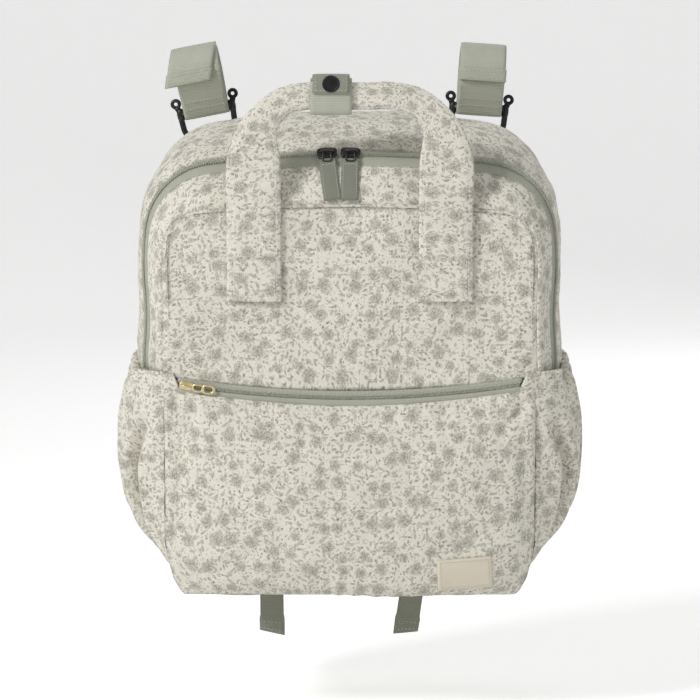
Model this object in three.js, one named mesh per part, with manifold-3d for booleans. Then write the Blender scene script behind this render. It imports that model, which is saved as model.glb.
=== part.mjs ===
// A backpack style diaper bag that hangs from a stroller's handlebar by two hooked straps.
// Millimetres. +X is right seen from the front, -Y is the front, +Z is up.
// The origin is the middle of the underside of the base.
import * as THREE from "three";
import { mergeVertices } from "three/addons/utils/BufferGeometryUtils.js";
import Module from "manifold-3d";

const wasm = await Module();
wasm.setup();

// ---- Driving dimensions ----
const GAP = 0.3; // air between pieces that touch
const FRONT_Y = -62; // face of the upper front
const BACK_Y = 80; // face of the back panel
const ZIP_Y = -35; // the main zip lies in this plane
const FOLD_Z = 181; // the front flap folds down about this line
const WAIST_Z = 185; // the sides stop flaring here
const BASE_FLAT = 118; // half width of the flat base
const BASE_HALF = 127; // half width where the sides leave the base
const BASE_RISE = 9; // height of the base corner
const PANEL = 4; // padded panel thickness
const LINING_INSET = 7.2;
const LINING = 1;
const BACK_FOAM = 5.9;
const TAPE_HALF = 6; // zip tape, from its centre line
const TAPE = { over: 1, under: 2.2 }; // depths of the tape's two faces below the bag's surface
const COIL = { over: -0.5, under: 0.7, half: 1.8 };
const WEBBING = 1.4;

// Outline of the bag at five depths: half widths, height, top corner radius and rise of the top
const SECTIONS = [
  { y: FRONT_Y, waist: 152, half: 151, top: 319, corner: 34, crown: 5 },
  { y: ZIP_Y, waist: 166, half: 166, top: 355.3, corner: 60, crown: 6 },
  { y: 10, waist: 170, half: 168, top: 375, corner: 68, crown: 8 },
  { y: 55, waist: 170, half: 165, top: 385, corner: 70, crown: 9 },
  { y: 71, waist: 168, half: 163, top: 385, corner: 70, crown: 9 },
  { y: BACK_Y, waist: 162, half: 157, top: 380, corner: 66, crown: 9 },
];

const POCKET_ARC = { sag: 11, half: 138, low: 161.5 }; // front pocket zip, a shallow sagging arc
const POCKET_HALF = 150;
const POCKET_BELLY = 22;
const POCKET_SKIN = 3;
const POCKET_TAPE = { low: 1.4, high: 6.4, half: 146, coil: 1.1 }; // measured from the zip's arc
const INNER_POCKET = { half: 110, low: 20, high: 180, thick: 1.2 };
const HANDLE = { leg: 77.5, width: 46, rise: 141, grip: 24, thick: 5, end: 35 };
const FRONT_HANDLE = { pivot: 274, y: -69.5 };
const BACK_HANDLE = { pivot: 245, y: 81.5, leg: 67, width: 38 };
const WRAP = { x: -15, width: 33, leaf: 29, thick: 2, cap: 6.85 };
const SLIDER = { length: 16, left: -18.5, right: 0.5 };
const RIBBON = { width: 14.5, thick: 1 };
const HOOK = { y: 98, pin: 387.7, boss: 396.6, leg: 22, wire: 2.5, bowl: 6.5, ringZ: 350.5, ringY: 91.5 };
const RING_BAR = { y: 84.7, z: 328.5, hole: 3, thick: 1.3 };
const LOOP = { width: 38, thick: 2.6, bar: 20, barZ: 417.2, pinR: 3.6, seat: 0.2 };
const HANGERS = {
  left: { x: -114, lean: -11, skew: -8 },
  right: { x: 106, lean: 4, skew: 0 },
};
const STRAP = { width: 40, thick: 9, top: 342, foot: 108 };
const BUCKLE = { x: 68, z: 96, width: 28, height: 20, thick: 4, lean: 28 };
const TAIL = { width: 20, z: -60, left: -66, right: 48, y: 97 };

// ---- Materials ----
function finish(colour, roughness, metalness = 0) {
  return new THREE.MeshStandardMaterial({ color: colour, roughness, metalness });
}

const MATERIALS = {
  print: finish(0xd9d6c8, 0.9),
  lining: finish(0xc9cbbd, 0.85),
  foam: finish(0xe8e8e4, 0.95),
  board: finish(0x3a3a3c, 0.7),
  sage: finish(0x9aa28e, 0.8),
  elastic: finish(0xe6e4da, 0.9),
  label: finish(0xe6dfca, 0.8),
  blackMetal: finish(0x1c1c1e, 0.35, 0.8),
  blackPlastic: finish(0x1e1e20, 0.5),
  gold: finish(0xc9b48c, 0.3, 0.9),
};

// ---- Geometry helpers ----
function toSolid(geometry) {
  const loose = geometry.index ? geometry.toNonIndexed() : geometry;
  const bare = new THREE.BufferGeometry();
  bare.setAttribute("position", loose.getAttribute("position"));
  const merged = mergeVertices(bare, 1e-4);
  const vertProperties = merged.getAttribute("position").array;
  const triVerts = new Uint32Array(merged.index.array);
  return new wasm.Manifold(new wasm.Mesh({ numProp: 3, vertProperties, triVerts }));
}

function toGeometry(solid) {
  const { vertProperties, triVerts } = solid.getMesh();
  const geometry = new THREE.BufferGeometry();
  geometry.setAttribute("position", new THREE.BufferAttribute(new Float32Array(vertProperties), 3));
  geometry.setIndex(new THREE.BufferAttribute(triVerts, 1));
  return geometry;
}

function join(...geometries) {
  return toGeometry(geometries.map(toSolid).reduce((sum, part) => sum.add(part)));
}

// A closed geometry from points and triangles, turned the right way out.
function closed(points, triangles) {
  const volume = triangles.reduce((sum, [a, b, c]) => {
    return sum + points[a].dot(points[b].clone().cross(points[c]));
  }, 0);
  const index = triangles.flatMap(([a, b, c]) => (volume < 0 ? [a, c, b] : [a, b, c]));
  return new THREE.BufferGeometry().setFromPoints(points).setIndex(index);
}

// A solid through rings with the same number of points; a fan closes each end.
function loft(rings) {
  const count = rings[0].length;
  const points = rings.flat();
  const triangles = [];
  for (let ring = 0; ring + 1 < rings.length; ring++) {
    for (let i = 0; i < count; i++) {
      const a = ring * count + i;
      const b = ring * count + ((i + 1) % count);
      triangles.push([a, b, b + count], [a, b + count, a + count]);
    }
  }
  const last = (rings.length - 1) * count;
  for (let i = 1; i + 1 < count; i++) {
    triangles.push([0, i + 1, i], [last, last + i, last + i + 1]);
  }
  return closed(points, triangles);
}

// A sheet of even thickness: at(u, v) gives its outer face for u and v from 0 to 1, and the
// thickness goes to the side that the cross product of the u and v directions points away from.
function sheet(at, thickness, stepsU, stepsV) {
  const outer = [];
  const inner = [];
  const small = 1e-3;
  for (let i = 0; i <= stepsU; i++) {
    for (let j = 0; j <= stepsV; j++) {
      const u = i / stepsU;
      const v = j / stepsV;
      const alongU = at(Math.min(u + small, 1), v).sub(at(Math.max(u - small, 0), v));
      const alongV = at(u, Math.min(v + small, 1)).sub(at(u, Math.max(v - small, 0)));
      const normal = alongU.cross(alongV).normalize();
      outer.push(at(u, v));
      inner.push(at(u, v).addScaledVector(normal, -thickness));
    }
  }
  const row = stepsV + 1;
  const back = outer.length;
  const triangles = [];
  const quad = (a, b, c, d) => triangles.push([a, b, c], [a, c, d]);
  for (let i = 0; i < stepsU; i++) {
    for (let j = 0; j < stepsV; j++) {
      const a = i * row + j;
      quad(a, a + row, a + row + 1, a + 1);
      quad(back + a, back + a + 1, back + a + row + 1, back + a + row);
    }
  }
  for (let i = 0; i < stepsU; i++) {
    const low = i * row;
    const high = low + stepsV;
    quad(low, back + low, back + low + row, low + row);
    quad(high, high + row, back + high + row, back + high);
  }
  for (let j = 0; j < stepsV; j++) {
    const end = stepsU * row + j;
    quad(j, j + 1, back + j + 1, back + j);
    quad(end, back + end, back + end + 1, end + 1);
  }
  return closed(outer.concat(inner), triangles);
}

// Webbing along a curve; across is the direction of its width.
function ribbon(curve, across, width, thickness, steps) {
  const half = across.clone().normalize().multiplyScalar(width / 2);
  const at = (u, v) => curve.getPoint(u).addScaledVector(half, 2 * v - 1);
  return sheet(at, thickness, steps, 1);
}

// A round wire along a curve.
function wire(curve, radius, steps) {
  const section = new THREE.Shape().absarc(0, 0, radius, 0, 2 * Math.PI, false);
  const options = { steps, extrudePath: curve, bevelEnabled: false, curveSegments: 4 };
  return new THREE.ExtrudeGeometry(section, options);
}

// A box between two corners.
function slab([x0, y0, z0], [x1, y1, z1]) {
  const box = new THREE.BoxGeometry(x1 - x0, y1 - y0, z1 - z0);
  return box.translate((x0 + x1) / 2, (y0 + y1) / 2, (z0 + z1) / 2);
}

// An outline drawn in X and Z, pushed from y1 forward to y0.
function frontExtrude(shape, y0, y1, curveSegments = 8) {
  const options = { depth: y1 - y0, bevelEnabled: false, curveSegments };
  const turn = new THREE.Matrix4().makeBasis(
    new THREE.Vector3(1, 0, 0),
    new THREE.Vector3(0, 0, 1),
    new THREE.Vector3(0, -1, 0),
  );
  return new THREE.ExtrudeGeometry(shape, options).applyMatrix4(turn).translate(0, y1, 0);
}

// An outline drawn in Y and Z, pushed along X over a width centred on x.
function sideExtrude(shape, x, width, curveSegments = 8) {
  const options = { depth: width, bevelEnabled: false, curveSegments };
  const turn = new THREE.Matrix4().makeBasis(
    new THREE.Vector3(0, 1, 0),
    new THREE.Vector3(0, 0, 1),
    new THREE.Vector3(1, 0, 0),
  );
  return new THREE.ExtrudeGeometry(shape, options).applyMatrix4(turn).translate(x - width / 2, 0, 0);
}

function polygon(points, holes = []) {
  const shape = new THREE.Shape(points.map(([a, b]) => new THREE.Vector2(a, b)));
  shape.holes = holes.map((hole) => new THREE.Path(hole.map(([a, b]) => new THREE.Vector2(a, b))));
  return shape;
}

function radians(degrees) {
  return (degrees * Math.PI) / 180;
}

// Radius of an arc from its half chord and its rise.
function arcRadius(half, rise) {
  return (half * half + rise * rise) / (2 * rise);
}

// ---- Bag body ----
// Half width of the side below the waist.
function sideX(waist, z) {
  return waist - (waist - BASE_HALF) * Math.max(0, 1 - z / WAIST_Z) ** 2;
}

function waistAt(y) {
  const next = Math.max(1, SECTIONS.findIndex((section) => section.y >= y));
  const from = SECTIONS[next - 1];
  const to = SECTIONS[next];
  return from.waist + ((to.waist - from.waist) * (y - from.y)) / (to.y - from.y);
}

// Points along an arc in X and Z, with its first point left out.
function arcPoints(x, z, radius, start, end, steps) {
  return Array.from({ length: steps }, (_, i) => {
    const angle = start + ((end - start) * (i + 1)) / steps;
    return [x + radius * Math.cos(angle), z + radius * Math.sin(angle)];
  });
}

// The bag's outline at one depth, from the middle of the base round to the right and over the top.
function bodyRing({ waist, half, top, corner, crown }, y, inset) {
  const sideSteps = 5;
  const right = half - inset;
  const radius = corner - inset;
  const high = top - inset;
  const flat = right - radius;
  const crownRadius = arcRadius(flat, crown);
  const crownStart = Math.PI / 2 - Math.asin(flat / crownRadius);
  const outline = [[0, inset], [BASE_FLAT - inset, inset]];
  for (let i = 0; i <= sideSteps; i++) {
    const z = BASE_RISE + ((WAIST_Z - BASE_RISE) * i) / sideSteps;
    outline.push([sideX(waist, z) - inset, Math.max(z, inset + 1)]);
  }
  outline.push([right, high - crown - radius]);
  outline.push(...arcPoints(flat, high - crown - radius, radius, 0, Math.PI / 2, 6));
  outline.push(...arcPoints(0, high - crownRadius, crownRadius, crownStart, Math.PI / 2, 4));
  const left = outline.slice(1, -1).reverse().map(([x, z]) => [-x, z]);
  return outline.concat(left).map(([x, z]) => new THREE.Vector3(x, y, z));
}

// The whole bag as one solid, shrunk by inset; front and back shrink by their own amounts.
function body(inset, frontInset = inset, backInset = inset) {
  const last = SECTIONS.length - 1;
  const rings = SECTIONS.map((section, i) => {
    if (i === 0) return bodyRing(section, section.y + frontInset, inset);
    return bodyRing(section, i === last ? section.y - backInset : section.y, inset);
  });
  // The last full section gives way when the back is pulled in past it.
  const kept = rings.filter((ring, i) => i === last || ring[0].y < BACK_Y - backInset - 1);
  return toSolid(loft(kept));
}

const FAR = 400;
const outerBody = body(0);
const padded = outerBody.subtract(body(PANEL));
const flapBand = ZIP_Y - TAPE_HALF;
const shellBand = ZIP_Y + TAPE_HALF;

function within(solid, low, high) {
  return solid.intersect(toSolid(slab(low, high)));
}

function backPanel() {
  return toGeometry(within(padded, [-FAR, BACK_Y - PANEL + GAP, -1], [FAR, FAR, FAR]));
}

function gusset() {
  const strip = within(padded, [-FAR, FRONT_Y + PANEL + GAP, -1], [FAR, BACK_Y - PANEL, FAR]);
  return toGeometry(strip.subtract(toSolid(slab([-FAR, -FAR, FOLD_Z - GAP], [FAR, shellBand, FAR]))));
}

function frontWall() {
  return toGeometry(within(padded, [-FAR, -FAR, -1], [FAR, FRONT_Y + PANEL, FOLD_Z - GAP]));
}

function frontFlap() {
  return toGeometry(within(padded, [-FAR, -FAR, FOLD_Z + GAP], [FAR, flapBand, FAR]));
}

// A strip of zip, between two depths below the bag's surface and between two planes.
function zipStrip({ over, under }, y0, y1) {
  const skin = body(over).subtract(body(under));
  return toGeometry(within(skin, [-FAR, y0, FOLD_Z + GAP], [FAR, y1, FAR]));
}

function liningSkin() {
  const backInset = PANEL + BACK_FOAM + 2 * GAP;
  const outside = body(LINING_INSET, LINING_INSET, backInset);
  return outside.subtract(body(LINING_INSET + LINING, LINING_INSET + LINING, backInset + LINING));
}

function lining() {
  const cut = toSolid(slab([-FAR, -FAR, FOLD_Z - GAP], [FAR, shellBand, FAR]));
  return toGeometry(liningSkin().subtract(cut));
}

function flapLining() {
  return toGeometry(within(liningSkin(), [-FAR, -FAR, FOLD_Z + GAP], [FAR, flapBand, FAR]));
}

function backFoam() {
  const front = BACK_Y - PANEL - BACK_FOAM;
  return toGeometry(within(body(PANEL + 2, PANEL, PANEL + GAP), [-FAR, front, -1], [FAR, FAR, FAR]));
}

function baseBoard() {
  const half = BASE_FLAT - 10;
  return slab([-half, FRONT_Y + 10, PANEL + GAP], [half, BACK_Y - 16, LINING_INSET - GAP]);
}

// The inner pocket bellies forward from the back padding.
function innerPocketY(x) {
  const belly = 12;
  return 62 - belly * Math.cos((Math.PI * x) / (2 * INNER_POCKET.half + 4)) ** 0.7;
}

function innerPocket() {
  const { half, low, high, thick } = INNER_POCKET;
  const at = (u, v) => {
    const x = half * (2 * u - 1);
    return new THREE.Vector3(x, innerPocketY(x), low + (high - low) * v);
  };
  return sheet(at, thick, 10, 2);
}

// Elastic along the inside of the inner pocket's hem.
function innerPocketElastic() {
  const half = INNER_POCKET.half - 10;
  const depth = INNER_POCKET.thick + 1;
  const at = (u, v) => {
    const x = half * (2 * u - 1);
    return new THREE.Vector3(x, innerPocketY(x) + depth, INNER_POCKET.high - 10 + 9 * v);
  };
  return sheet(at, 0.6, 10, 1);
}

// ---- Front pocket ----
const pocketRadius = arcRadius(POCKET_ARC.half, POCKET_ARC.sag);
const pocketCentreZ = POCKET_ARC.low + pocketRadius;

function pocketZipZ(x) {
  return pocketCentreZ - Math.sqrt(pocketRadius * pocketRadius - x * x);
}

// Half width of the pocket panel, with its rounded bottom corners.
function pocketEdge(z) {
  const cornerZ = 40;
  const away = Math.max(0, 1 - z / cornerZ);
  return POCKET_HALF - 34 * (1 - Math.sqrt(1 - away * away));
}

// The face of the bellied pocket.
function pocketY(x, z) {
  const rise = Math.sin(Math.PI * Math.min(1, Math.max(0, z / 168)) ** 0.6) ** 0.8;
  const across = 1 - Math.min(1, Math.abs(x) / pocketEdge(z)) ** 3.5;
  return FRONT_Y - GAP - POCKET_SKIN - POCKET_BELLY * rise * across;
}

function frontPocket() {
  const bottom = 2;
  const at = (u, v) => {
    const side = 2 * u - 1;
    const z = bottom + (pocketZipZ(side * POCKET_HALF) - 6 - bottom) * v;
    const x = side * pocketEdge(z);
    return new THREE.Vector3(x, pocketY(x, z), z);
  };
  return sheet(at, POCKET_SKIN, 16, 10);
}

// A band that follows the pocket's zip arc between two heights above it.
function zipBand(low, high, half, y0, y1) {
  const angle = Math.asin(half / pocketRadius);
  const down = -Math.PI / 2;
  const band = new THREE.Shape();
  band.absarc(0, pocketCentreZ, pocketRadius - low, down - angle, down + angle, false);
  band.absarc(0, pocketCentreZ, pocketRadius - high, down + angle, down - angle, true);
  return frontExtrude(band, y0, y1, 7);
}

function pocketSliderBody() {
  const z = pocketZipZ(0);
  const shell = slab([-5, -68.3, z - 3.6], [5, -66.2, z + 3.6]);
  const lowFlange = slab([-5, -66.4, z - 3.6], [5, -65.4, z - 1.8]);
  const highFlange = slab([-5, -66.4, z + 1.8], [5, -64.8, z + 3.6]);
  const bridge = slab([0.5, -70.2, z - 0.9], [4.5, -68.2, z + 0.9]);
  return join(shell, lowFlange, highFlange, bridge);
}

function pocketPull() {
  const z = pocketZipZ(0);
  const plate = new THREE.Shape();
  plate.moveTo(6, z - 2.2);
  plate.lineTo(20, z - 3.4);
  plate.absarc(20, z, 3.4, -Math.PI / 2, Math.PI / 2, false);
  plate.lineTo(6, z + 2.2);
  plate.holes = [9.5, 17].map((x) => new THREE.Path().absarc(x, z, 1.5, 0, 2 * Math.PI, true));
  return frontExtrude(plate, -70, -68.8, 4);
}

function labelPatch() {
  const [width, height, x0, z0, lean] = [44, 26, 92, 21.5, radians(3)];
  const at = (u, v) => {
    const across = (u - 0.5) * width;
    const up = (v - 0.5) * height;
    const x = x0 + across * Math.cos(lean) - up * Math.sin(lean);
    const z = z0 + across * Math.sin(lean) + up * Math.cos(lean);
    return new THREE.Vector3(x, pocketY(x, z) - 1.6, z);
  };
  return sheet(at, 1, 6, 4);
}

// ---- Side pockets ----
const SIDE_POCKET = { front: -59, back: 74, skin: 2.5, clear: 1.2 };
const POCKET_SIDE_CURVE = new THREE.SplineCurve(
  [[131, 2], [141, 16], [162, 41], [181, 69], [189, 110], [189, 142], [185, 168], [178, 187]].map(
    ([x, z]) => new THREE.Vector2(x, z),
  ),
);

// The pocket's outer face; u runs from front to back and v up from the base.
function sidePocketAt(u, v, lift = 0) {
  const y = SIDE_POCKET.front + (SIDE_POCKET.back - SIDE_POCKET.front) * u;
  const outline = POCKET_SIDE_CURVE.getPoint(v);
  const z = outline.y - 6 * v * (1 - u);
  const wall = sideX(waistAt(y), z) + SIDE_POCKET.clear + SIDE_POCKET.skin;
  const belly = Math.max(0, outline.x - wall) * Math.sin(Math.PI * u) ** 0.55;
  return new THREE.Vector3(wall + belly + lift, y, z);
}

function sidePocket() {
  return sheet((u, v) => sidePocketAt(u, v), SIDE_POCKET.skin, 10, 9);
}

function sidePocketElastic() {
  const depth = SIDE_POCKET.skin + 1.6;
  const at = (u, v) => sidePocketAt(0.12 + 0.76 * u, 0.93 + 0.06 * v, -depth);
  return sheet(at, 0.6, 8, 1);
}

// ---- Handles ----
// A tote handle's free part, a flat U drawn from its pivot line up.
function handleShape(pivot, { leg, width }) {
  const outer = leg + width / 2;
  const inner = leg - width / 2;
  const top = pivot + HANDLE.rise;
  const under = top - HANDLE.grip;
  const shape = new THREE.Shape();
  shape.moveTo(outer, pivot + GAP);
  shape.lineTo(outer, top - 62);
  shape.bezierCurveTo(outer, top - 24, outer - 22, top - 3, outer - 56, top - 1);
  shape.lineTo(56 - outer, top - 1);
  shape.bezierCurveTo(22 - outer, top - 3, -outer, top - 24, -outer, top - 62);
  shape.lineTo(-outer, pivot + GAP);
  shape.lineTo(-inner, pivot + GAP);
  shape.lineTo(-inner, under - 22);
  shape.bezierCurveTo(-inner, under - 6, 6 - inner, under, 24 - inner, under);
  shape.lineTo(inner - 24, under);
  shape.bezierCurveTo(inner - 6, under, inner, under - 6, inner, under - 22);
  shape.lineTo(inner, pivot + GAP);
  return shape;
}

function handleEnd(pivot, { leg, width }, y0, y1) {
  return slab([leg - width / 2, y0, pivot - HANDLE.end], [leg + width / 2, y1, pivot - GAP]);
}

// The webbing wrap round the front handle's grip, open where the leaf closes it.
const gripTop = FRONT_HANDLE.pivot + HANDLE.rise - 1;
const gripLow = FRONT_HANDLE.pivot + HANDLE.rise - HANDLE.grip;
const wrapFront = FRONT_HANDLE.y - 1;
const wrapBack = FRONT_HANDLE.y + HANDLE.thick + 1;

function handleWrap() {
  const t = WRAP.thick;
  const [y0, y1, z0, z1] = [wrapFront, wrapBack, gripLow - 1, gripTop + 1];
  const band = polygon([
    [y0 - t, z1 - 2], [y0 - t, z0], [y0, z0 - t], [y1, z0 - t], [y1 + t, z0],
    [y1 + t, z1], [y1, z1 + t], [y0, z1 + t], [y0, z1], [y1, z1], [y1, z0], [y0, z0], [y0, z1 - 2],
  ]);
  return sideExtrude(band, WRAP.x, WRAP.width);
}

function wrapLeaf() {
  const t = WRAP.thick;
  const under = gripTop + 1 + t + GAP + 0.1;
  const inside = wrapFront - t - GAP - 0.1;
  const leaf = polygon([
    [wrapBack, under], [wrapBack, under + t], [inside, under + t], [inside - t, under],
    [inside - t, gripTop - 9], [inside, gripTop - 9], [inside, under],
  ]);
  return sideExtrude(leaf, WRAP.x, WRAP.leaf);
}

function snapCap() {
  const face = wrapFront - 2 * WRAP.thick - 2 * GAP - 0.1;
  const profile = [[0, 0], [WRAP.cap, 0], [WRAP.cap, 0.8], [WRAP.cap - 1.6, 2], [0, 2.4]];
  const cap = new THREE.LatheGeometry(profile.map(([r, h]) => new THREE.Vector2(r, h)), 16);
  return cap.rotateX(Math.PI).translate(WRAP.x, face, gripTop - 2);
}

// ---- Main zip sliders ----
const zipSection = SECTIONS[1];
const zipFlat = zipSection.half - zipSection.corner;
const zipArcRadius = arcRadius(zipFlat, zipSection.crown);
const zipArcZ = zipSection.top - zipArcRadius;
const boxingRise = Math.atan2(zipSection.top - SECTIONS[0].top, ZIP_Y - FRONT_Y);

// A slider and its ribbon are drawn at the top of the zip's arc and turned about the arc's centre.
function onZipArc(geometry, x) {
  const turned = geometry.translate(0, 0, -zipArcZ);
  return turned.rotateY(Math.asin(x / zipArcRadius)).translate(0, 0, zipArcZ);
}

// Drawn flat with the tape along X and its outward side up, then tipped to lie on the flap's boxing.
function mainSlider(x) {
  const cover = slab([-SLIDER.length / 2, -5.2, 1.4], [SLIDER.length / 2, 1.4, 3.2]);
  const flange = slab([-SLIDER.length / 2, -5.2, 0], [SLIDER.length / 2, -3.8, 1.6]);
  const bridge = slab([-2, -3.6, 3], [2, -0.6, 5]);
  const slider = join(cover, flange, bridge).rotateX(boxingRise);
  return onZipArc(slider.translate(0, ZIP_Y, zipSection.top), x);
}

// The ribbon lies on the sloping boxing below its slider.
function pullRibbon(x) {
  const down = new THREE.Vector3(0, -Math.cos(boxingRise), -Math.sin(boxingRise));
  const out = new THREE.Vector3(0, -Math.sin(boxingRise), Math.cos(boxingRise));
  const top = new THREE.Vector3(0, ZIP_Y, zipSection.top).addScaledVector(out, 2.3);
  const start = top.clone().addScaledVector(down, 6.6);
  const end = top.clone().addScaledVector(down, 44);
  const curve = new THREE.LineCurve3(start, end);
  return onZipArc(ribbon(curve, new THREE.Vector3(1, 0, 0), RIBBON.width, RIBBON.thick, 1), x);
}

// ---- Hanging hardware, drawn at x = 0 ----
// Webbing sewn to the back panel and folded round the ring's bar.
function ringTab() {
  const { y, z, hole, thick } = RING_BAR;
  const low = z - 22;
  const outer = hole + thick;
  const profile = new THREE.Shape();
  profile.moveTo(y + outer - 4.4, low);
  profile.lineTo(y + outer - 4.4, z - 9);
  profile.absarc(y, z, outer, -0.9, Math.PI, false);
  profile.lineTo(y - outer, low);
  profile.holes = [new THREE.Path().absarc(y, z, hole, 0, 2 * Math.PI, true)];
  return sideExtrude(profile, 0, 18, 5);
}

// The D ring: a straight bar through the tab and an arch up to the hook.
function dRing() {
  const rise = HOOK.ringZ - RING_BAR.z;
  const outline = [[0, 0], [11, 0], [16, 6], [14, 15], [7, 21], [0, rise], [-7, 21], [-14, 15],
    [-16, 6], [-11, 0]];
  const points = outline.map(([x, up]) => {
    const y = RING_BAR.y + ((HOOK.ringY - RING_BAR.y) * up) / rise;
    return new THREE.Vector3(x, y, RING_BAR.z + up);
  });
  return wire(new THREE.CatmullRomCurve3(points, true, "catmullrom", 0.5), 2, 20);
}

// Frame of the stroller hook: two legs, the pin that holds the strap and the bowl that holds the ring.
function strollerHook() {
  const { y, leg, boss, pin, bowl, ringZ, ringY } = HOOK;
  const side = [[9, 364], [leg - 2, 370], [leg, 380], [leg, boss - 9], [leg + 2, boss - 3]];
  const otherSide = side.map(([x, z]) => [-x, z]).reverse();
  const legs = new THREE.CatmullRomCurve3(
    [...otherSide, [0, 363], ...side].map(([x, z]) => new THREE.Vector3(x, y, z)),
  );
  const cross = new THREE.CylinderGeometry(3, 3, 2 * leg, 10).rotateZ(Math.PI / 2).translate(0, y, pin);
  const rings = [-leg - 2.4, leg + 2.4].map((x) => {
    return new THREE.TorusGeometry(3, 1.6, 6, 10).rotateX(Math.PI / 2).translate(x, y, boss);
  });
  const turn = [0, 45, 90, 135, 180].map((angle) => {
    const a = radians(angle);
    return new THREE.Vector3(0, ringY + bowl * Math.cos(a), ringZ - bowl * Math.sin(a));
  });
  const tip = new THREE.Vector3(0, ringY - bowl, ringZ + 4);
  const stem = new THREE.Vector3(0, y, ringZ + 13);
  const jaw = new THREE.CatmullRomCurve3([stem, ...turn, tip]);
  return join(wire(legs, HOOK.wire, 16), cross, ...rings, wire(jaw, 2.2, 10));
}

function hookGate() {
  const top = new THREE.Vector3(0, HOOK.y - 4, HOOK.ringZ + 15.5);
  const end = new THREE.Vector3(0, HOOK.ringY - HOOK.bowl, HOOK.ringZ + 7);
  return wire(new THREE.LineCurve3(top, end), 1.4, 1);
}

// Webbing loop round the handlebar above and the hook's pin below, flat where the bar bears on it.
function teardrop(bigRadius, smallRadius, path) {
  const drop = LOOP.barZ - HOOK.pin;
  const tangent = Math.asin((bigRadius - smallRadius) / drop);
  const up = Math.PI / 2;
  path.absarc(HOOK.y, LOOP.barZ, bigRadius, -tangent, up - LOOP.seat, false);
  path.absarc(HOOK.y, LOOP.barZ, bigRadius, up + LOOP.seat, Math.PI + tangent, false);
  path.absarc(HOOK.y, HOOK.pin, smallRadius, Math.PI + tangent, 2 * Math.PI - tangent, false);
  return path;
}

function strollerStrap() {
  const outline = teardrop(LOOP.bar + LOOP.thick, LOOP.pinR + LOOP.thick, new THREE.Shape());
  outline.holes = [teardrop(LOOP.bar, LOOP.pinR, new THREE.Path())];
  return sideExtrude(outline, 0, LOOP.width, 5);
}

// The strap's outer end, closed over its front with hook and loop tape; its last fold is thicker.
function strapClosure(skew) {
  const inside = LOOP.bar + LOOP.thick + 0.4;
  const outside = inside + 2.2;
  const fold = outside + 1.6;
  const [start, thick, end] = [radians(91), radians(172), radians(193)];
  const flap = new THREE.Shape();
  flap.absarc(HOOK.y, LOOP.barZ, inside, start, end, false);
  flap.absarc(HOOK.y, LOOP.barZ, fold, end, thick, true);
  flap.absarc(HOOK.y, LOOP.barZ, outside, thick, start, true);
  const geometry = sideExtrude(flap, 0, LOOP.width, 5);
  const position = geometry.getAttribute("position");
  const top = LOOP.barZ + fold;
  for (let i = 0; i < position.count; i++) {
    const drop = (top - position.getZ(i)) / fold;
    position.setX(i, position.getX(i) + skew * drop);
  }
  return geometry;
}

// ---- Shoulder straps, drawn on the right ----
const strapCurve = new THREE.CatmullRomCurve3([
  new THREE.Vector3(24, BACK_Y + 10, STRAP.top),
  new THREE.Vector3(24, BACK_Y + 17, 300),
  new THREE.Vector3(24, BACK_Y + 17, 235),
  new THREE.Vector3(38, BACK_Y + 16, 180),
  new THREE.Vector3(56, BACK_Y + 16, 135),
  new THREE.Vector3(65, BACK_Y + 15, STRAP.foot),
]);

function shoulderStrap() {
  const at = (u, v) => {
    const tangent = strapCurve.getTangent(u);
    const across = new THREE.Vector3(tangent.z, 0, -tangent.x).normalize();
    const narrow = 1 - 0.35 * Math.max(0, (u - 0.75) / 0.25) ** 2;
    return strapCurve.getPoint(u).addScaledVector(across, STRAP.width * narrow * (v - 0.5));
  };
  return sheet(at, STRAP.thick, 14, 2);
}

function ladderLock() {
  const w = BUCKLE.width / 2;
  const h = BUCKLE.height / 2;
  const slot = (z0, z1) => [[-w + 3, z0], [-w + 3, z1], [w - 3, z1], [w - 3, z0]];
  const frame = polygon([[-w, -h], [w, -h], [w, h], [-w, h]], [slot(-h + 3, -1.5), slot(1.5, h - 3)]);
  const plate = frontExtrude(frame, -BUCKLE.thick / 2, BUCKLE.thick / 2);
  return plate.rotateY(radians(-BUCKLE.lean)).translate(BUCKLE.x + 4, BACK_Y + 10.5, BUCKLE.z - 2);
}

function webbingAnchor() {
  const patch = polygon([[98, 6], [121, 6], [136, 34], [128, 38], [98, 16]]);
  return frontExtrude(patch, BACK_Y + GAP, BACK_Y + 2.6);
}

function lowerWebbing() {
  const foot = new THREE.Vector3(112, BACK_Y + 5, 22);
  const head = new THREE.Vector3(86, BACK_Y + 9, 72);
  const along = head.clone().sub(foot);
  const across = new THREE.Vector3(-along.z, 0, along.x);
  return ribbon(new THREE.LineCurve3(foot, head), across, TAIL.width, WEBBING, 1);
}

// The loose end of the webbing hangs from the buckle and ends in a sewn fold.
function strapTail(x0, x1) {
  const start = new THREE.Vector3(x0, TAIL.y, BUCKLE.z - 16);
  const end = new THREE.Vector3(x1, TAIL.y, TAIL.z);
  const along = end.clone().sub(start);
  const across = new THREE.Vector3(along.z, 0, -along.x);
  const foldStart = end.clone().addScaledVector(along.clone().normalize(), -12);
  const strip = ribbon(new THREE.LineCurve3(start, end), across, TAIL.width, WEBBING, 1);
  const out = new THREE.Vector3(0, 1.2, 0);
  const fold = new THREE.LineCurve3(foldStart.add(out), end.clone().add(out));
  return join(strip, ribbon(fold, across, TAIL.width, 3.4, 1));
}

// ---- Assembly ----
const bag = new THREE.Group();

function add(name, geometry, material, parent = bag) {
  const mesh = new THREE.Mesh(geometry, material);
  mesh.name = name;
  parent.add(mesh);
  return mesh;
}

// The same piece on the right and, mirrored, on the left.
function addPair(name, geometry, material) {
  add(`${name}_right`, geometry, material);
  add(`${name}_left`, geometry, material).scale.x = -1;
}

const { print, sage, blackMetal, blackPlastic } = MATERIALS;

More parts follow.
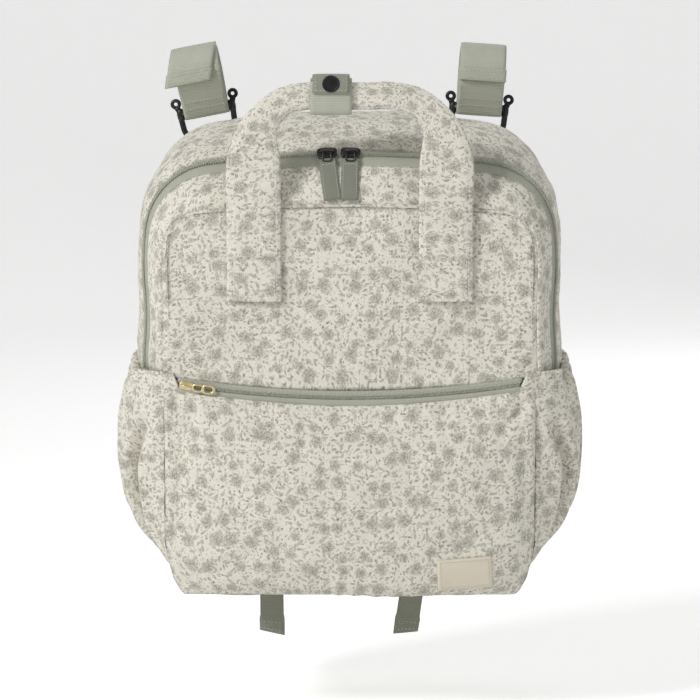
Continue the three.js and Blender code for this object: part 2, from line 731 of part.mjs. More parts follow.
add("back_panel", backPanel(), print);
add("gusset", gusset(), print);
add("front_wall", frontWall(), print);
add("lining", lining(), MATERIALS.lining);
add("back_foam", backFoam(), MATERIALS.foam);
add("base_board", baseBoard(), MATERIALS.board);
add("inner_pocket", innerPocket(), MATERIALS.lining);
add("inner_pocket_elastic", innerPocketElastic(), MATERIALS.elastic);
const zipLine = GAP / 2; // half the parting between the two coils
add("shell_zip_tape", zipStrip(TAPE, ZIP_Y + zipLine, shellBand - GAP), sage);
add("shell_zip_coil", zipStrip(COIL, ZIP_Y + zipLine, ZIP_Y + COIL.half), sage);

add("front_flap", frontFlap(), print);
add("flap_lining", flapLining(), MATERIALS.lining);
add("flap_zip_tape", zipStrip(TAPE, flapBand + GAP, ZIP_Y - zipLine), sage);
add("flap_zip_coil", zipStrip(COIL, ZIP_Y - COIL.half, ZIP_Y - zipLine), sage);
add("main_slider_left", mainSlider(SLIDER.left), blackMetal);
add("main_slider_right", mainSlider(SLIDER.right), blackMetal);
add("pull_ribbon_left", pullRibbon(SLIDER.left), sage);
add("pull_ribbon_right", pullRibbon(SLIDER.right), sage);

add("front_pocket", frontPocket(), print);
const { low: tapeLow, high: tapeHigh, half: tapeEnd, coil } = POCKET_TAPE;
const upperTape = zipBand(tapeLow, tapeHigh, tapeEnd, FRONT_Y - 1.5, FRONT_Y - GAP);
const lowerTape = zipBand(-tapeLow - 4, -tapeLow, tapeEnd, FRONT_Y - 3, FRONT_Y - 1.8);
add("pocket_zip_tape_upper", upperTape, sage);
add("pocket_zip_tape_lower", lowerTape, sage);
add("pocket_zip_coil", zipBand(-coil, coil, POCKET_ARC.half, FRONT_Y - 3.4, FRONT_Y - 1.8), sage);
add("label_patch", labelPatch(), MATERIALS.label);

const pocketSlide = new THREE.Group();
const pocketParkAngle = Math.asin(-131 / pocketRadius);
pocketSlide.position.z = pocketCentreZ;
pocketSlide.rotation.y = -pocketParkAngle;
bag.add(pocketSlide);
add("pocket_slider", pocketSliderBody().translate(0, 0, -pocketCentreZ), MATERIALS.gold, pocketSlide);
add("pocket_pull", pocketPull().translate(0, 0, -pocketCentreZ), MATERIALS.gold, pocketSlide);

addPair("side_pocket", sidePocket(), print);
addPair("side_pocket_elastic", sidePocketElastic(), MATERIALS.elastic);

const frontShape = handleShape(FRONT_HANDLE.pivot, HANDLE);
add("front_handle", frontExtrude(frontShape, FRONT_HANDLE.y, FRONT_HANDLE.y + HANDLE.thick, 6), print);
const frontEnd = handleEnd(FRONT_HANDLE.pivot, HANDLE, FRONT_Y - GAP - 4, FRONT_Y - GAP);
addPair("front_handle_end", frontEnd, print);
add("handle_wrap", handleWrap(), sage);
add("wrap_leaf", wrapLeaf(), sage);
add("snap_cap", snapCap(), blackMetal);

const backShape = handleShape(BACK_HANDLE.pivot, BACK_HANDLE);
add("back_handle", frontExtrude(backShape, BACK_HANDLE.y, BACK_HANDLE.y + HANDLE.thick, 6), print);
const backEnd = handleEnd(BACK_HANDLE.pivot, BACK_HANDLE, BACK_Y + GAP, BACK_Y + GAP + 3);
addPair("back_handle_end", backEnd, print);

for (const [side, { x, lean, skew }] of Object.entries(HANGERS)) {
  add(`ring_tab_${side}`, ringTab(), sage).position.x = x;
  add(`d_ring_${side}`, dRing(), blackMetal).position.x = x;
  const hanger = new THREE.Group();
  hanger.position.set(x, 0, HOOK.ringZ);
  hanger.rotation.y = radians(lean);
  bag.add(hanger);
  const hung = (geometry) => geometry.translate(0, 0, -HOOK.ringZ);
  add(`stroller_hook_${side}`, hung(strollerHook()), blackMetal, hanger);
  add(`hook_gate_${side}`, hung(hookGate()), blackMetal, hanger);
  add(`stroller_strap_${side}`, hung(strollerStrap()), sage, hanger);
  add(`strap_closure_${side}`, hung(strapClosure(skew)), sage, hanger);
}

addPair("shoulder_strap", shoulderStrap(), print);
addPair("ladder_lock", ladderLock(), blackPlastic);
addPair("webbing_anchor", webbingAnchor(), print);
addPair("lower_webbing", lowerWebbing(), sage);
add("strap_tail_left", strapTail(-BUCKLE.x, TAIL.left), sage);
add("strap_tail_right", strapTail(BUCKLE.x, TAIL.right), sage);

export default bag;
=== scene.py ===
"""A floral print diaper bag: fabric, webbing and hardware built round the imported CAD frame.

Lengths are millimetres until a mesh is made, and UVs are centimetres of cloth.
"""
import math

import bpy
import numpy as np
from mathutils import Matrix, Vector


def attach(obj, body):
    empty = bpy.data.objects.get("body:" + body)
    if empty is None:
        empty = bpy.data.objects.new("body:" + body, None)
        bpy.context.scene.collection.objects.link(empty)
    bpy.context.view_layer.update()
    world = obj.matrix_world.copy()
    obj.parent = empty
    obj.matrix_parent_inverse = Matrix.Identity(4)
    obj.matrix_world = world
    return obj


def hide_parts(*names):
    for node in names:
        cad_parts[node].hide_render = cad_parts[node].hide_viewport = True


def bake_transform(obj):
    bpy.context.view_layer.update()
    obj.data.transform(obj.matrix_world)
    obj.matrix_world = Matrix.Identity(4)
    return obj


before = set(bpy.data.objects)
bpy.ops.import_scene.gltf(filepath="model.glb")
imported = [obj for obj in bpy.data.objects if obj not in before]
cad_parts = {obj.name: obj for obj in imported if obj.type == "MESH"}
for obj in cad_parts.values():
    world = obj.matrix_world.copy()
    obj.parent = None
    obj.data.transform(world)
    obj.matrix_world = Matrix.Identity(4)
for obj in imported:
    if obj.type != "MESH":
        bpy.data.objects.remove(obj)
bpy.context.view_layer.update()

MM, CM, PI = 0.001, 0.1, math.pi
FRONT, REAR = np.array([0.0, -1, 0]), np.array([0.0, 1, 0])


# ---------------------------------------------------------------- curves
def unit(v):
    return v / np.maximum(np.linalg.norm(v, axis=-1, keepdims=True), 1e-9)


def tangents(path, closed=False):
    return unit(np.roll(path, -1, 0) - np.roll(path, 1, 0) if closed else np.gradient(path, axis=0))


def lengths(path):
    """Distance run at each point of a path."""
    return np.concatenate([[0], np.cumsum(np.linalg.norm(np.diff(path, axis=0), axis=1))])


def along(values, run, at):
    """Rows of values, known at distances run, read at other distances."""
    return np.stack([np.interp(at, run, column) for column in np.transpose(values)], -1)


def resample(path, pitch):
    """Points at an even pitch along a path."""
    run = lengths(path)
    count = max(2, int(run[-1] / pitch))
    return along(path, run, (np.arange(count) + 0.5) * run[-1] / count)


def spline(points, steps, closed=False):
    """Catmull-Rom curve through points, with steps samples per span."""
    p = np.asarray(points, float)
    ends = (p[-1:], p[:2]) if closed else (2 * p[:1] - p[1:2], 2 * p[-1:] - p[-2:-1])
    p = np.vstack([ends[0], p, ends[1]])
    a, b, c, d = p[:-3, None], p[1:-2, None], p[2:-1, None], p[3:, None]
    t = (np.arange(steps) / steps)[:, None]
    curve = 2 * b + (c - a) * t + (2 * a - 5 * b + 4 * c - d) * t * t + (3 * b - a - 3 * c + d) * t ** 3
    made = 0.5 * curve.reshape(-1, p.shape[1])
    return made if closed else np.vstack([made, p[-2:-1]])


def arc(y, z, radius, angles):
    """Points in Y and Z on a circle."""
    return np.column_stack([y + radius * np.cos(angles), z + radius * np.sin(angles)])


def oval(centre, long, wide, count=24, powers=(2 / 2.6, 2 / 2.6)):
    """A rounded outline in X and Y; lower powers give squarer corners."""
    t = np.linspace(0, 2 * PI, count, endpoint=False)
    c, s = np.cos(t), np.sin(t)
    x, y = np.sign(c) * np.abs(c) ** powers[0], np.sign(s) * np.abs(s) ** powers[1]
    return np.stack([centre + long * x, wide * y], 1)


def swing(points, angle, height=0.0):
    """Turns points about an axis along Y at a height."""
    x, y, z = np.moveaxis(np.asarray(points, float) - [0, 0, height], -1, 0)
    c, s = math.cos(angle), math.sin(angle)
    return np.stack([x * c + z * s, y, z * c - x * s + height], -1)


def tip(points, angle, depth, height):
    """Turns points about an axis along X and moves them to a depth and height."""
    x, y, z = np.moveaxis(np.asarray(points, float), -1, 0)
    c, s = math.cos(angle), math.sin(angle)
    return np.stack([x, y * c - z * s + depth, y * s + z * c + height], -1)


# ---------------------------------------------------------------- unevenness of cloth
def grid_of(u, v):
    return np.meshgrid(u, v, indexing="ij")


def smoothstep(low, high, value):
    t = np.clip((value - low) / (high - low), 0, 1)
    return t * t * (3 - 2 * t)


def ease(distance, reach, power=0.8):
    """Rises from 0 on a sewn edge to 1 at reach from it."""
    return np.sin(np.clip(distance / reach, 0, 1) * PI / 2) ** power


def edge_dip(grid, cells=3.0, top_sewn=True):
    """1 inside a panel and 0 on its sewn edges, rising over some cells of its grid."""
    i, j = np.indices(grid.shape[:2])
    far = [i, len(grid) - 1 - i, j] + [grid.shape[1] - 1 - j] * top_sewn
    return ease(np.minimum.reduce(far), cells)


def waves(points, scale, seed):
    """Smooth, repeatable unevenness between about -1 and 1 at each point."""
    rng, count = np.random.default_rng(seed), 7
    total = np.zeros(points.shape[:-1])
    for _ in range(count):
        direction = unit(rng.normal(size=3))
        length = scale * rng.uniform(0.7, 1.5)
        total += np.sin(points @ direction * 2 * PI / length + rng.uniform(0, 2 * PI))
    return total / math.sqrt(count) * 0.9


def cloth_lift(points, seed, big, small):
    return big * waves(points, 95, seed) + small * waves(points, 26, seed + 1)


def creases(grid, lines):
    """Grooves along straight lines in X and Z: x0, z0, x1, z1, depth and width of each."""
    x, z = grid[..., 0], grid[..., 2]
    total = np.zeros_like(x)
    for x0, z0, x1, z1, depth, width in lines:
        dx, dz = x1 - x0, z1 - z0
        t = np.clip(((x - x0) * dx + (z - z0) * dz) / (dx * dx + dz * dz), 0, 1)
        away = np.hypot(x - x0 - t * dx, z - z0 - t * dz)
        total -= depth * np.exp(-((away / width) ** 2)) * np.sin(PI * np.clip(0.1 + 0.9 * t, 0, 1)) ** 0.4
    return total


def puckers(points, seam, seed, height, pitch, reach):
    """Short gathers that run in from a sewn seam and die away."""
    apart = np.linalg.norm(points.reshape(-1, 3)[:, None] - seam, axis=2)
    run, away = lengths(seam)[apart.argmin(1)], apart.min(1)
    phase = 1.7 * np.sin(run / 31 + seed) + 1.1 * np.sin(run / 12.3 + 2 * seed)
    strength = 0.55 + 0.45 * np.sin(run / 43 + 3 * seed)
    made = np.exp(-away / reach) * (1 - np.exp(-away / 2.5)) * strength * np.sin(2 * PI * run / pitch + phase)
    return height * made.reshape(points.shape[:-1])


# ---------------------------------------------------------------- objects
def make_mesh(name, points, faces, uvs, material, wrap=0.0):
    """A smooth object with a UV per point; wrap is the cloth's length round a closed panel, so that
    its last faces don't run back to the start."""
    mesh = bpy.data.meshes.new(name)
    mesh.from_pydata((points * MM).tolist(), [], faces)
    layer = mesh.uv_layers.new(name="cloth")
    loops = np.zeros(len(mesh.loops), np.int32)
    mesh.loops.foreach_get("vertex_index", loops)
    uv = uvs.astype(np.float32)[loops]
    if wrap:
        corners = uv[:, 0].reshape(-1, 4)
        corners[corners < corners.max(1, keepdims=True) - wrap / 2] += wrap
        uv[:, 0] = corners.ravel()
    layer.data.foreach_set("uv", uv.ravel())
    mesh.polygons.foreach_set("use_smooth", [True] * len(mesh.polygons))
    mesh.materials.append(material)
    mesh.update()
    made = bpy.data.objects.new(name, mesh)
    bpy.context.scene.collection.objects.link(made)
    return made


def right_side_out(points, faces):
    """The faces of a closed body, turned over if they look inwards."""
    volume = 0.0
    for size in {len(face) for face in faces}:
        corners = points[np.array([face for face in faces if len(face) == size])]
        for k in range(1, size - 1):
            volume += (corners[:, 0] * np.cross(corners[:, k], corners[:, k + 1])).sum()
    return faces if volume > 0 else [face[::-1] for face in faces]


def piece(name, parts, material, body, nodes=None, wrap=0.0):
    """One object from (points, faces, uvs) parts; a name ending in _cover stands for that CAD node.

    body is the body it rides; a tuple of two bodies and the ends of a bend only leaves the piece unattached,
    with its transform applied.
    """
    faces, start = [], 0
    for part in parts:
        faces += [tuple(i + start for i in face) for face in right_side_out(*part[:2])]
        start += len(part[0])
    uvs = [part[2] if len(part) > 2 else part[0][:, [0, 2]] * CM for part in parts]
    made = make_mesh(name, np.vstack([part[0] for part in parts]), faces, np.vstack(uvs), material, wrap)
    if nodes is None and name.endswith("_cover"):
        nodes = (name.removesuffix("_cover"),)
    if nodes:
        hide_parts(*nodes)
    if isinstance(body, str):
        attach(made, body)
    else:
        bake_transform(made)


def moved(parts, how, *more):
    return [(how(part[0], *more), *part[1:]) for part in parts]


# ---------------------------------------------------------------- solid shapes
def loft_faces(levels, sides, looped=False, capped=True):
    """Faces over levels of sides points each; looped joins the last level to the first."""
    faces = []
    for i in range(levels if looped else levels - 1):
        low, high = i * sides, (i + 1) % levels * sides
        for k in range(sides):
            m = (k + 1) % sides
            faces.append((low + k, low + m, high + m, high + k))
    if capped and not looped:
        faces += [tuple(range(sides))[::-1], tuple(range((levels - 1) * sides, levels * sides))]
    return faces


def tube_part(path, radius, sides=10, closed=False, squash=1.0):
    """A round wire or cord along a path of points; radius may vary along it."""
    path = np.asarray(path, float)
    tangent = tangents(path, closed)
    side = REAR if abs(tangent[0][1]) < 0.9 else np.array([1.0, 0, 0])
    k = np.arange(sides)
    angle = (2 * PI * k / sides)[:, None]
    points, uvs = [], []
    for p, r, t, s in zip(path, np.broadcast_to(radius, len(path)), tangent, lengths(path)):
        side = unit(side - t * (side @ t))
        points.append(p + r * (np.cos(angle) * side + squash * np.sin(angle) * np.cross(t, side)))
        uvs.append(np.column_stack([np.full(sides, s), np.minimum(k, sides - k) * 2 * PI * r / sides]) * CM)
    return np.vstack(points), loft_faces(len(path), sides, closed), np.vstack(uvs)


def box_part(centre, size, axes=np.eye(3), bevel=0.25):
    """A block with its edges cut back, along three axes."""
    half = np.asarray(size, float) / 2
    cut = min(bevel * half.min() * 2, half.min() * 0.9)
    points = []
    for z, shrink in ((-half[2], cut), (cut - half[2], 0), (half[2] - cut, 0), (half[2], cut)):
        x, y = half[:2] - shrink
        for sx, sy in ((-1, -1), (1, -1), (1, 1), (-1, 1)):
            pair = [(sx * x, sy * (y - cut), z), (sx * (x - cut), sy * y, z)]
            points += pair[::sx * sy]
    return np.asarray(centre) + np.array(points) @ np.asarray(axes), loft_faces(4, 8)


def plate_part(outline, z0, z1, bevel):
    """A flat plate from an outline in X and Y, with eased edges."""
    out = outline - outline.mean(0)
    inner = outline.mean(0) + out * (1 - bevel / np.maximum(np.linalg.norm(out, axis=1, keepdims=True), 1e-6))
    levels = ((inner, z0), (outline, z0 + bevel * 0.7), (outline, z1 - bevel * 0.7), (inner, z1))
    return np.vstack([np.insert(xy, 2, z, axis=1) for xy, z in levels]), loft_faces(4, len(outline))


def disc_part(centre, profile, sides=40):
    """A turned cap facing the front, from (radius, height) pairs running from its rim to its middle."""
    angle = 2 * PI * np.arange(sides) / sides
    levels = [np.column_stack([r * np.cos(angle), np.full(sides, -h), r * np.sin(angle)]) for r, h in profile]
    return centre + np.vstack(levels), loft_faces(len(profile), sides)


# places along a stitch and its girth there, as shares of its length and radius
STITCH = np.array([(-0.5, 0.15), (-0.3, 0.85), (0, 1.0), (0.3, 0.85), (0.5, 0.15)])
STITCH_SIDES = 5


def stitch_part(path, normal, off, length, pitch, radius):
    """Thread along a seam: short rounded stitches, lying off the path along its normal."""
    normal = np.asarray(normal, float)
    spots = resample(path + normal * off, pitch)
    if normal.ndim > 1:
        normal = normal[np.linspace(0, len(normal) - 1, len(spots)).round().astype(int)]
    ahead, normal = tangents(spots)[:, None, None], np.broadcast_to(normal, spots.shape)[:, None, None]
    run, girth = STITCH.T[:, None, :, None, None]
    angle = (2 * PI * np.arange(STITCH_SIDES) / STITCH_SIDES)[:, None]
    section = np.cross(ahead, normal) * np.cos(angle) * 1.1 + normal * np.sin(angle)
    points = spots[:, None, None] + ahead * run * length + radius * girth * section
    one, size = loft_faces(len(STITCH), STITCH_SIDES), len(STITCH) * STITCH_SIDES
    faces = [tuple(i + size * k for i in face) for k in range(len(spots)) for face in one]
    return points.reshape(-1, 3), faces


def sew(name, seams, thread, body):
    """One object of stitching; each seam is a path, its normal, and the stitches' offset and sizes."""
    piece(name, [stitch_part(*seam) for seam in seams], thread, body)


# ---------------------------------------------------------------- cloth panels
def grid_normals(grid, closed=False):
    """Outward normals of a grid of points, (rows, columns, 3); closed wraps the rows round."""
    return unit(np.cross(tangents(grid, closed), np.gradient(grid, axis=1)))


def grid_uv(grid, start):
    """Cloth coordinates from the mean lengths along the grid's rows and columns."""
    steps = [np.linalg.norm(np.diff(grid, axis=k), axis=2).mean(1 - k) for k in (0, 1)]
    u, v = grid_of(*[np.concatenate([[0], np.cumsum(step)]) * CM + s for step, s in zip(steps, start)])
    return np.stack([u, v], -1).reshape(-1, 2)


def panel_part(outer, inner, closed=False, mask=None, uv_start=(0, 0)):
    """A closed body between two grids of points; cells where mask is False are left out."""
    rows, cols = outer.shape[:2]
    cell_rows, half = rows if closed else rows - 1, rows * cols
    mask = np.ones((cell_rows, cols - 1), bool) if mask is None else mask
    faces, turn_in = [], np.zeros((half, 2))

    def lives(i, j):
        i = i % rows if closed else i
        return 0 <= i < cell_rows and 0 <= j < cols - 1 and mask[i, j]

    for i, j in np.argwhere(mask).tolist():
        a, b, c, d = [(i + p) % rows * cols + j + q for p, q in ((0, 0), (1, 0), (1, 1), (0, 1))]
        faces += [(a, b, c, d), (half + a, half + d, half + c, half + b)]
        for beyond, p, q, axis, way in (((i - 1, j), a, d, 0, -1), ((i + 1, j), c, b, 0, 1),
                                        ((i, j - 1), b, a, 1, -1), ((i, j + 1), d, c, 1, 1)):
            if not lives(*beyond):
                faces.append((p, q, half + q, half + p))
                turn_in[[p, q], axis] = way
    uv = grid_uv(outer, uv_start)
    depth = np.linalg.norm((outer - inner).reshape(-1, 3), axis=1, keepdims=True) * CM
    points = np.vstack([outer.reshape(-1, 3), inner.reshape(-1, 3)])
    used = sorted({i for face in faces for i in face})
    index = {old: new for new, old in enumerate(used)}
    faces = [tuple(index[i] for i in face) for face in faces]
    return points[used], faces, np.vstack([uv, uv + turn_in * depth])[used]


def cloth_part(base, lift, thickness, closed=False, mask=None, uv_start=(0, 0), flip=False, pins=()):
    """Cloth over a grid of base points, raised by lift along the normals; returns it and its face's grid.

    pins are (column, rows, points) and hold the cloth's edge on a neighbour's seam.
    """
    normals = grid_normals(base, closed) * (-1 if flip else 1)
    outer = base + normals * np.asarray(lift, float)[..., None]
    for column, held, points in pins:
        outer[held, column] = points[held]
    inner = outer - normals * thickness
    sheets = (inner, outer) if flip else (outer, inner)
    return panel_part(*sheets, closed, mask, uv_start), outer


def panel(name, material, *sheet, body="bag", nodes=None, closed=False, **how):
    """An object of one cloth_part; returns its face's grid."""
    part, face = cloth_part(*sheet, closed=closed, **how)
    wrap = np.linalg.norm(face - np.roll(face, 1, 0), axis=2).mean(1).sum() * CM if closed else 0.0
    piece(name, [part], material, body, nodes, wrap)
    return face


def spread(line, across, half, v):
    """A grid of points on both sides of a line, at shares v of its half width."""
    return line[:, None] + across[:, None] * np.multiply.outer(np.broadcast_to(half, len(line)), v)[..., None]


def band_sheets(path, x, width, thickness, cells=13, bulge=0.0, edge=0.35, skew=0.0, closed=False):
    """Outer and inner grid of webbing that follows a path in Y and Z, with its width along X."""
    path = np.asarray(path, float)
    tangent = tangents(path, closed) * (-1 if closed else 1)
    normal = np.stack([tangent[:, 0] * 0, tangent[:, 1], -tangent[:, 0]], 1)[:, None]
    v = np.linspace(-1, 1, cells)
    sides = np.broadcast_to(skew, len(path))[:, None] + x + v * width / 2
    middle = np.stack([sides, *np.broadcast_arrays(path[:, :1], path[:, 1:], sides)[:2]], -1)
    thick = (thickness / 2 * (1 - edge * np.abs(v) ** 8))[:, None]
    middle = middle + normal * (bulge * (1 - v * v))[:, None]
    return middle + normal * thick, middle - normal * thick


# ---------------------------------------------------------------- materials
class Nodes:
    """A Principled material built from short node expressions."""

    def __init__(self, name):
        self.material = bpy.data.materials.new(name)
        self.material.use_nodes = True
        self.tree = self.material.node_tree
        self.shader = self.tree.nodes["Principled BSDF"]

    def feed(self, socket, value):
        if isinstance(value, bpy.types.NodeSocket):
            self.tree.links.new(value, socket)
        else:
            socket.default_value = (*value, 1.0) if socket.type == "RGBA" else value

    def node(self, kind, inputs=(), **values):
        made = self.tree.nodes.new("ShaderNode" + kind)
        for key, value in values.items():
            setattr(made, key, value)
        for key, value in dict(inputs).items():
            self.feed(made.inputs[key], value)
        return made

    def math(self, operation, a, b=0.0, c=0.0, clamp=False):
        return self.node("Math", enumerate((a, b, c)), operation=operation, use_clamp=clamp).outputs[0]

    def mul(self, a, b, clamp=False):
        return self.math("MULTIPLY", a, b, clamp=clamp)

    def add(self, a, b, clamp=False):
        return self.math("ADD", a, b, clamp=clamp)

    def mad(self, a, b, c):
        return self.math("MULTIPLY_ADD", a, b, c)

    def most(self, a, b):
        return self.math("MAXIMUM", a, b)

    def sine(self, a, times=None):
        return self.math("SINE", a if times is None else self.mul(a, times))

    def vector(self, operation, a, b=(0, 0, 0), scale=None):
        inputs = {0: a, 1: b} if scale is None else {0: a, "Scale": scale}
        made = self.node("VectorMath", inputs, operation=operation)
        return made.outputs["Value" if operation == "LENGTH" else "Vector"]

    def split(self, vector):
        return self.node("SeparateXYZ", {0: vector}).outputs

    def step(self, value, low, high):
        """0 below low and 1 above high, smooth between; low above high turns it over."""
        ends = {"Value": value, "From Min": min(low, high), "From Max": max(low, high)}
        if low > high:
            ends |= {"To Min": 1.0, "To Max": 0.0}
        return self.node("MapRange", ends, interpolation_type="SMOOTHSTEP").outputs[0]

    def mix(self, factor, a, b):
        return self.node("Mix", {0: factor, 6: a, 7: b}, data_type="RGBA").outputs[2]

    def noise(self, vector, scale, detail=2.0, rough=0.5, dimensions="2D", out="Fac"):
        inputs = {"Vector": vector, "Scale": scale, "Detail": detail, "Roughness": rough}
        return self.node("TexNoise", inputs, noise_dimensions=dimensions).outputs[out]

    def cells(self, vector, size, randomness=1.0):
        """Voronoi cells of a size: offset from the nearest cell's centre, and its random values."""
        inputs = {"Vector": vector, "Scale": 1.0 / size, "Randomness": randomness}
        made = self.node("TexVoronoi", inputs, voronoi_dimensions="2D")
        return self.vector("SUBTRACT", vector, made.outputs["Position"]), self.split(made.outputs["Color"])

    def cloth(self):
        return self.node("UVMap", uv_map="cloth").outputs["UV"]

    def place(self):
        return self.node("TexCoord").outputs["Object"]

    def bump(self, height, strength, distance):
        made = self.node("Bump", {"Strength": strength, "Distance": distance, "Height": height})
        self.feed(self.shader.inputs["Normal"], made.outputs[0])

    def finish(self, colour, roughness, metallic=0.0, sheen=0.0):
        for key, value in (("Base Color", colour), ("Roughness", roughness), ("Metallic", metallic),
                           ("Sheen Weight", sheen), ("Sheen Roughness", 0.6)):
            self.feed(self.shader.inputs[key], value)
        return self.material


def linear(*display):
    """Scene-linear colour from 8-bit display values."""
    shares = [c / 255 for c in display]
    return tuple(c / 12.92 if c <= 0.04045 else ((c + 0.055) / 1.055) ** 2.4 for c in shares)


def leaves(n, cloth, size, long, wide, share):
    """Small pointed leaves, one to a cell, each turned by a random share of a full turn."""
    offset, (turn, kept, _) = n.cells(cloth, size)
    x, y, _ = n.split(offset)
    angle = n.mul(turn, 2 * PI)
    c, s = n.math("COSINE", angle), n.sine(angle)
    reach = n.math("DIVIDE", n.add(n.mul(x, c), n.mul(y, s)), long)
    across = n.math("ABSOLUTE", n.math("SUBTRACT", n.mul(y, c), n.mul(x, s)))
    edge = n.mul(n.math("SUBTRACT", 1.0, n.mul(reach, reach)), wide)
    leaf = n.step(n.math("SUBTRACT", edge, across), 0.0, wide * 0.35)
    vein = n.step(across, wide * 0.18, wide * 0.42)
    return n.mul(n.mul(leaf, n.math("LESS_THAN", kept, share)), n.mad(vein, 0.5, 0.5))


def blossoms(n, cloth, size, radius):
    """Round five-petalled flowers with curled petal lines inside: their ink, extent and dark strokes."""
    offset, (turn, girth, _) = n.cells(cloth, size, 0.8)
    x, y, _ = n.split(offset)
    petal = n.add(n.mul(n.math("ARCTAN2", y, x), 5.0), n.mul(turn, 2 * PI))
    rim = n.mul(n.mad(n.math("COSINE", petal), 0.08, 0.92), n.mad(girth, 0.4, 0.7))
    reach = n.math("DIVIDE", n.vector("LENGTH", offset), n.mul(rim, radius))
    reach = n.add(reach, n.mad(n.noise(cloth, 6.0), 0.6, -0.3))
    inside = n.step(reach, 1.20, 0.72)
    drift = n.mad(reach, 8.0, n.mul(n.noise(n.vector("ADD", cloth, (17.0, 5.0, 0)), 4.2), 18.0))
    line, heart = n.step(n.sine(drift), -0.3, 0.7), n.step(reach, 0.55, 0.1)
    tone = n.mad(line, 0.46, n.mad(heart, 0.22, 0.27))
    strokes = n.step(n.math("ABSOLUTE", n.sine(drift, 0.5)), 0.22, 0.06)
    return n.mul(inside, tone), inside, n.mul(inside, strokes)


def weave(n, cloth, per_cm):
    """Plain weave: a height, and a slight painted shade between the threads."""
    x, y, _ = n.split(cloth)
    threads = n.mul(n.sine(x, 2 * PI * per_cm), n.sine(y, 2 * PI * per_cm))
    return n.mad(threads, 0.25, 0.5), n.mad(threads, 0.035, 0.985)


def print_material(name, ground, ink=(141, 138, 123), dark=(99, 97, 86)):
    """Cotton with a dense small floral print."""
    n = Nodes(name)
    cloth = n.cloth()
    warp = n.vector("SUBTRACT", n.noise(cloth, 1.7, out="Color"), (0.5, 0.5, 0.5))
    drawn = n.vector("ADD", cloth, n.vector("SCALE", warp, scale=0.2))
    shifted = [n.vector("ADD", drawn, by) for by in ((5.1, 7.7, 0), (3.7, 8.1, 0), (11.3, 2.9, 0))]
    flower, inside, strokes = blossoms(n, drawn, 1.78, 0.60)
    rosette, inside_small, _ = blossoms(n, shifted[0], 1.5, 0.24)
    open_ground = n.math("SUBTRACT", 1.0, n.most(inside, inside_small))
    big, small = leaves(n, drawn, 0.50, 0.30, 0.105, 0.72), leaves(n, shifted[1], 0.32, 0.18, 0.055, 0.55)
    offset, (kept, girth, _) = n.cells(shifted[2], 0.34)
    bud = n.math("SUBTRACT", n.mad(girth, 0.04, 0.05), n.vector("LENGTH", offset))
    bud = n.mul(n.step(bud, -0.012, 0.012), n.math("LESS_THAN", kept, 0.36))
    stem = n.step(n.math("ABSOLUTE", n.sine(n.noise(drawn, 0.95), 46.0)), 0.30, 0.08)
    sprays = n.mul(n.most(n.mul(big, 0.78), n.mul(stem, 0.50)), open_ground)
    inked = n.most(n.most(flower, n.mul(rosette, 0.9)), sprays)
    darkened = n.mul(n.most(n.mul(small, 0.52), n.mul(bud, 0.72)), n.mad(open_ground, 0.75, 0.25))
    darkened = n.most(darkened, n.mul(strokes, 0.75))
    fade = n.mad(n.noise(cloth, 3.1, 3.0), 0.6, 0.70)
    colour = n.mix(n.mul(inked, fade, clamp=True), linear(*ground), linear(*ink))
    colour = n.mix(n.mul(darkened, n.mul(fade, 0.85), clamp=True), colour, linear(*dark))
    threads, thread_shade = weave(n, cloth, 16.0)
    tone = n.mad(n.noise(cloth, 0.35, 3.0), 0.12, 0.94)
    n.bump(n.add(threads, n.mul(n.noise(cloth, 2.2, 4.0), 1.6)), 0.35, 0.0004)
    # colour scaled by a random tone and by the weave's painted shade between threads
    colour = n.vector("SCALE", colour, scale=n.mul(tone, thread_shade))
    return n.finish(colour, n.mad(threads, -0.12, 0.92), sheen=0.1)


def webbing_material(name, colour, shade=0.7, rib=0.19):
    """Woven tape: ribs across its length, a fine slant between them, a painted highlight on the high threads
    and painted shade between them.
    """
    n = Nodes(name)
    cloth = n.cloth()
    x, y, _ = n.split(cloth)
    slant = n.add(n.mul(x, 2 * PI / (rib * 0.5)), n.mul(y, 2 * PI / 0.13))
    threads = n.mad(n.sine(x, 2 * PI / rib), 0.3, n.mad(n.sine(slant), 0.16, 0.5))
    fuzz = n.noise(cloth, 14.0)
    # painted highlight on the raised threads and painted shade between them, mixed with random cloudy tone
    # and fuzz
    rib_light_and_tone = n.add(n.mul(threads, 0.30), n.mad(n.noise(cloth, 0.7, 3.0), 0.22, 0.55))
    rib_light_and_tone = n.add(rib_light_and_tone, n.mad(fuzz, 0.16, -0.02), clamp=True)
    n.bump(n.add(threads, n.mul(fuzz, 0.3)), 0.55, 0.0005)
    made = n.mix(rib_light_and_tone, linear(*(c * shade for c in colour)), linear(*colour))
    return n.finish(made, n.mad(threads, -0.15, 0.82), sheen=0.25)


def plain_cloth(name, colour, per_cm, vary=0.12):
    """Plain woven cloth or sewing thread, a little cloudy."""
    n = Nodes(name)
    cloth = n.cloth()
    threads, thread_shade = weave(n, cloth, per_cm)
    cloudy = n.mad(n.noise(cloth, 0.8, 4.0), vary, 1 - vary / 2)
    n.bump(n.add(threads, n.noise(cloth, 3.0, 3.0)), 0.4, 0.0004)
    # cloudy tone times the weave's painted shade between threads
    return n.finish(n.vector("SCALE", linear(*colour), scale=n.mul(cloudy, thread_shade)), 0.88, sheen=0.1)


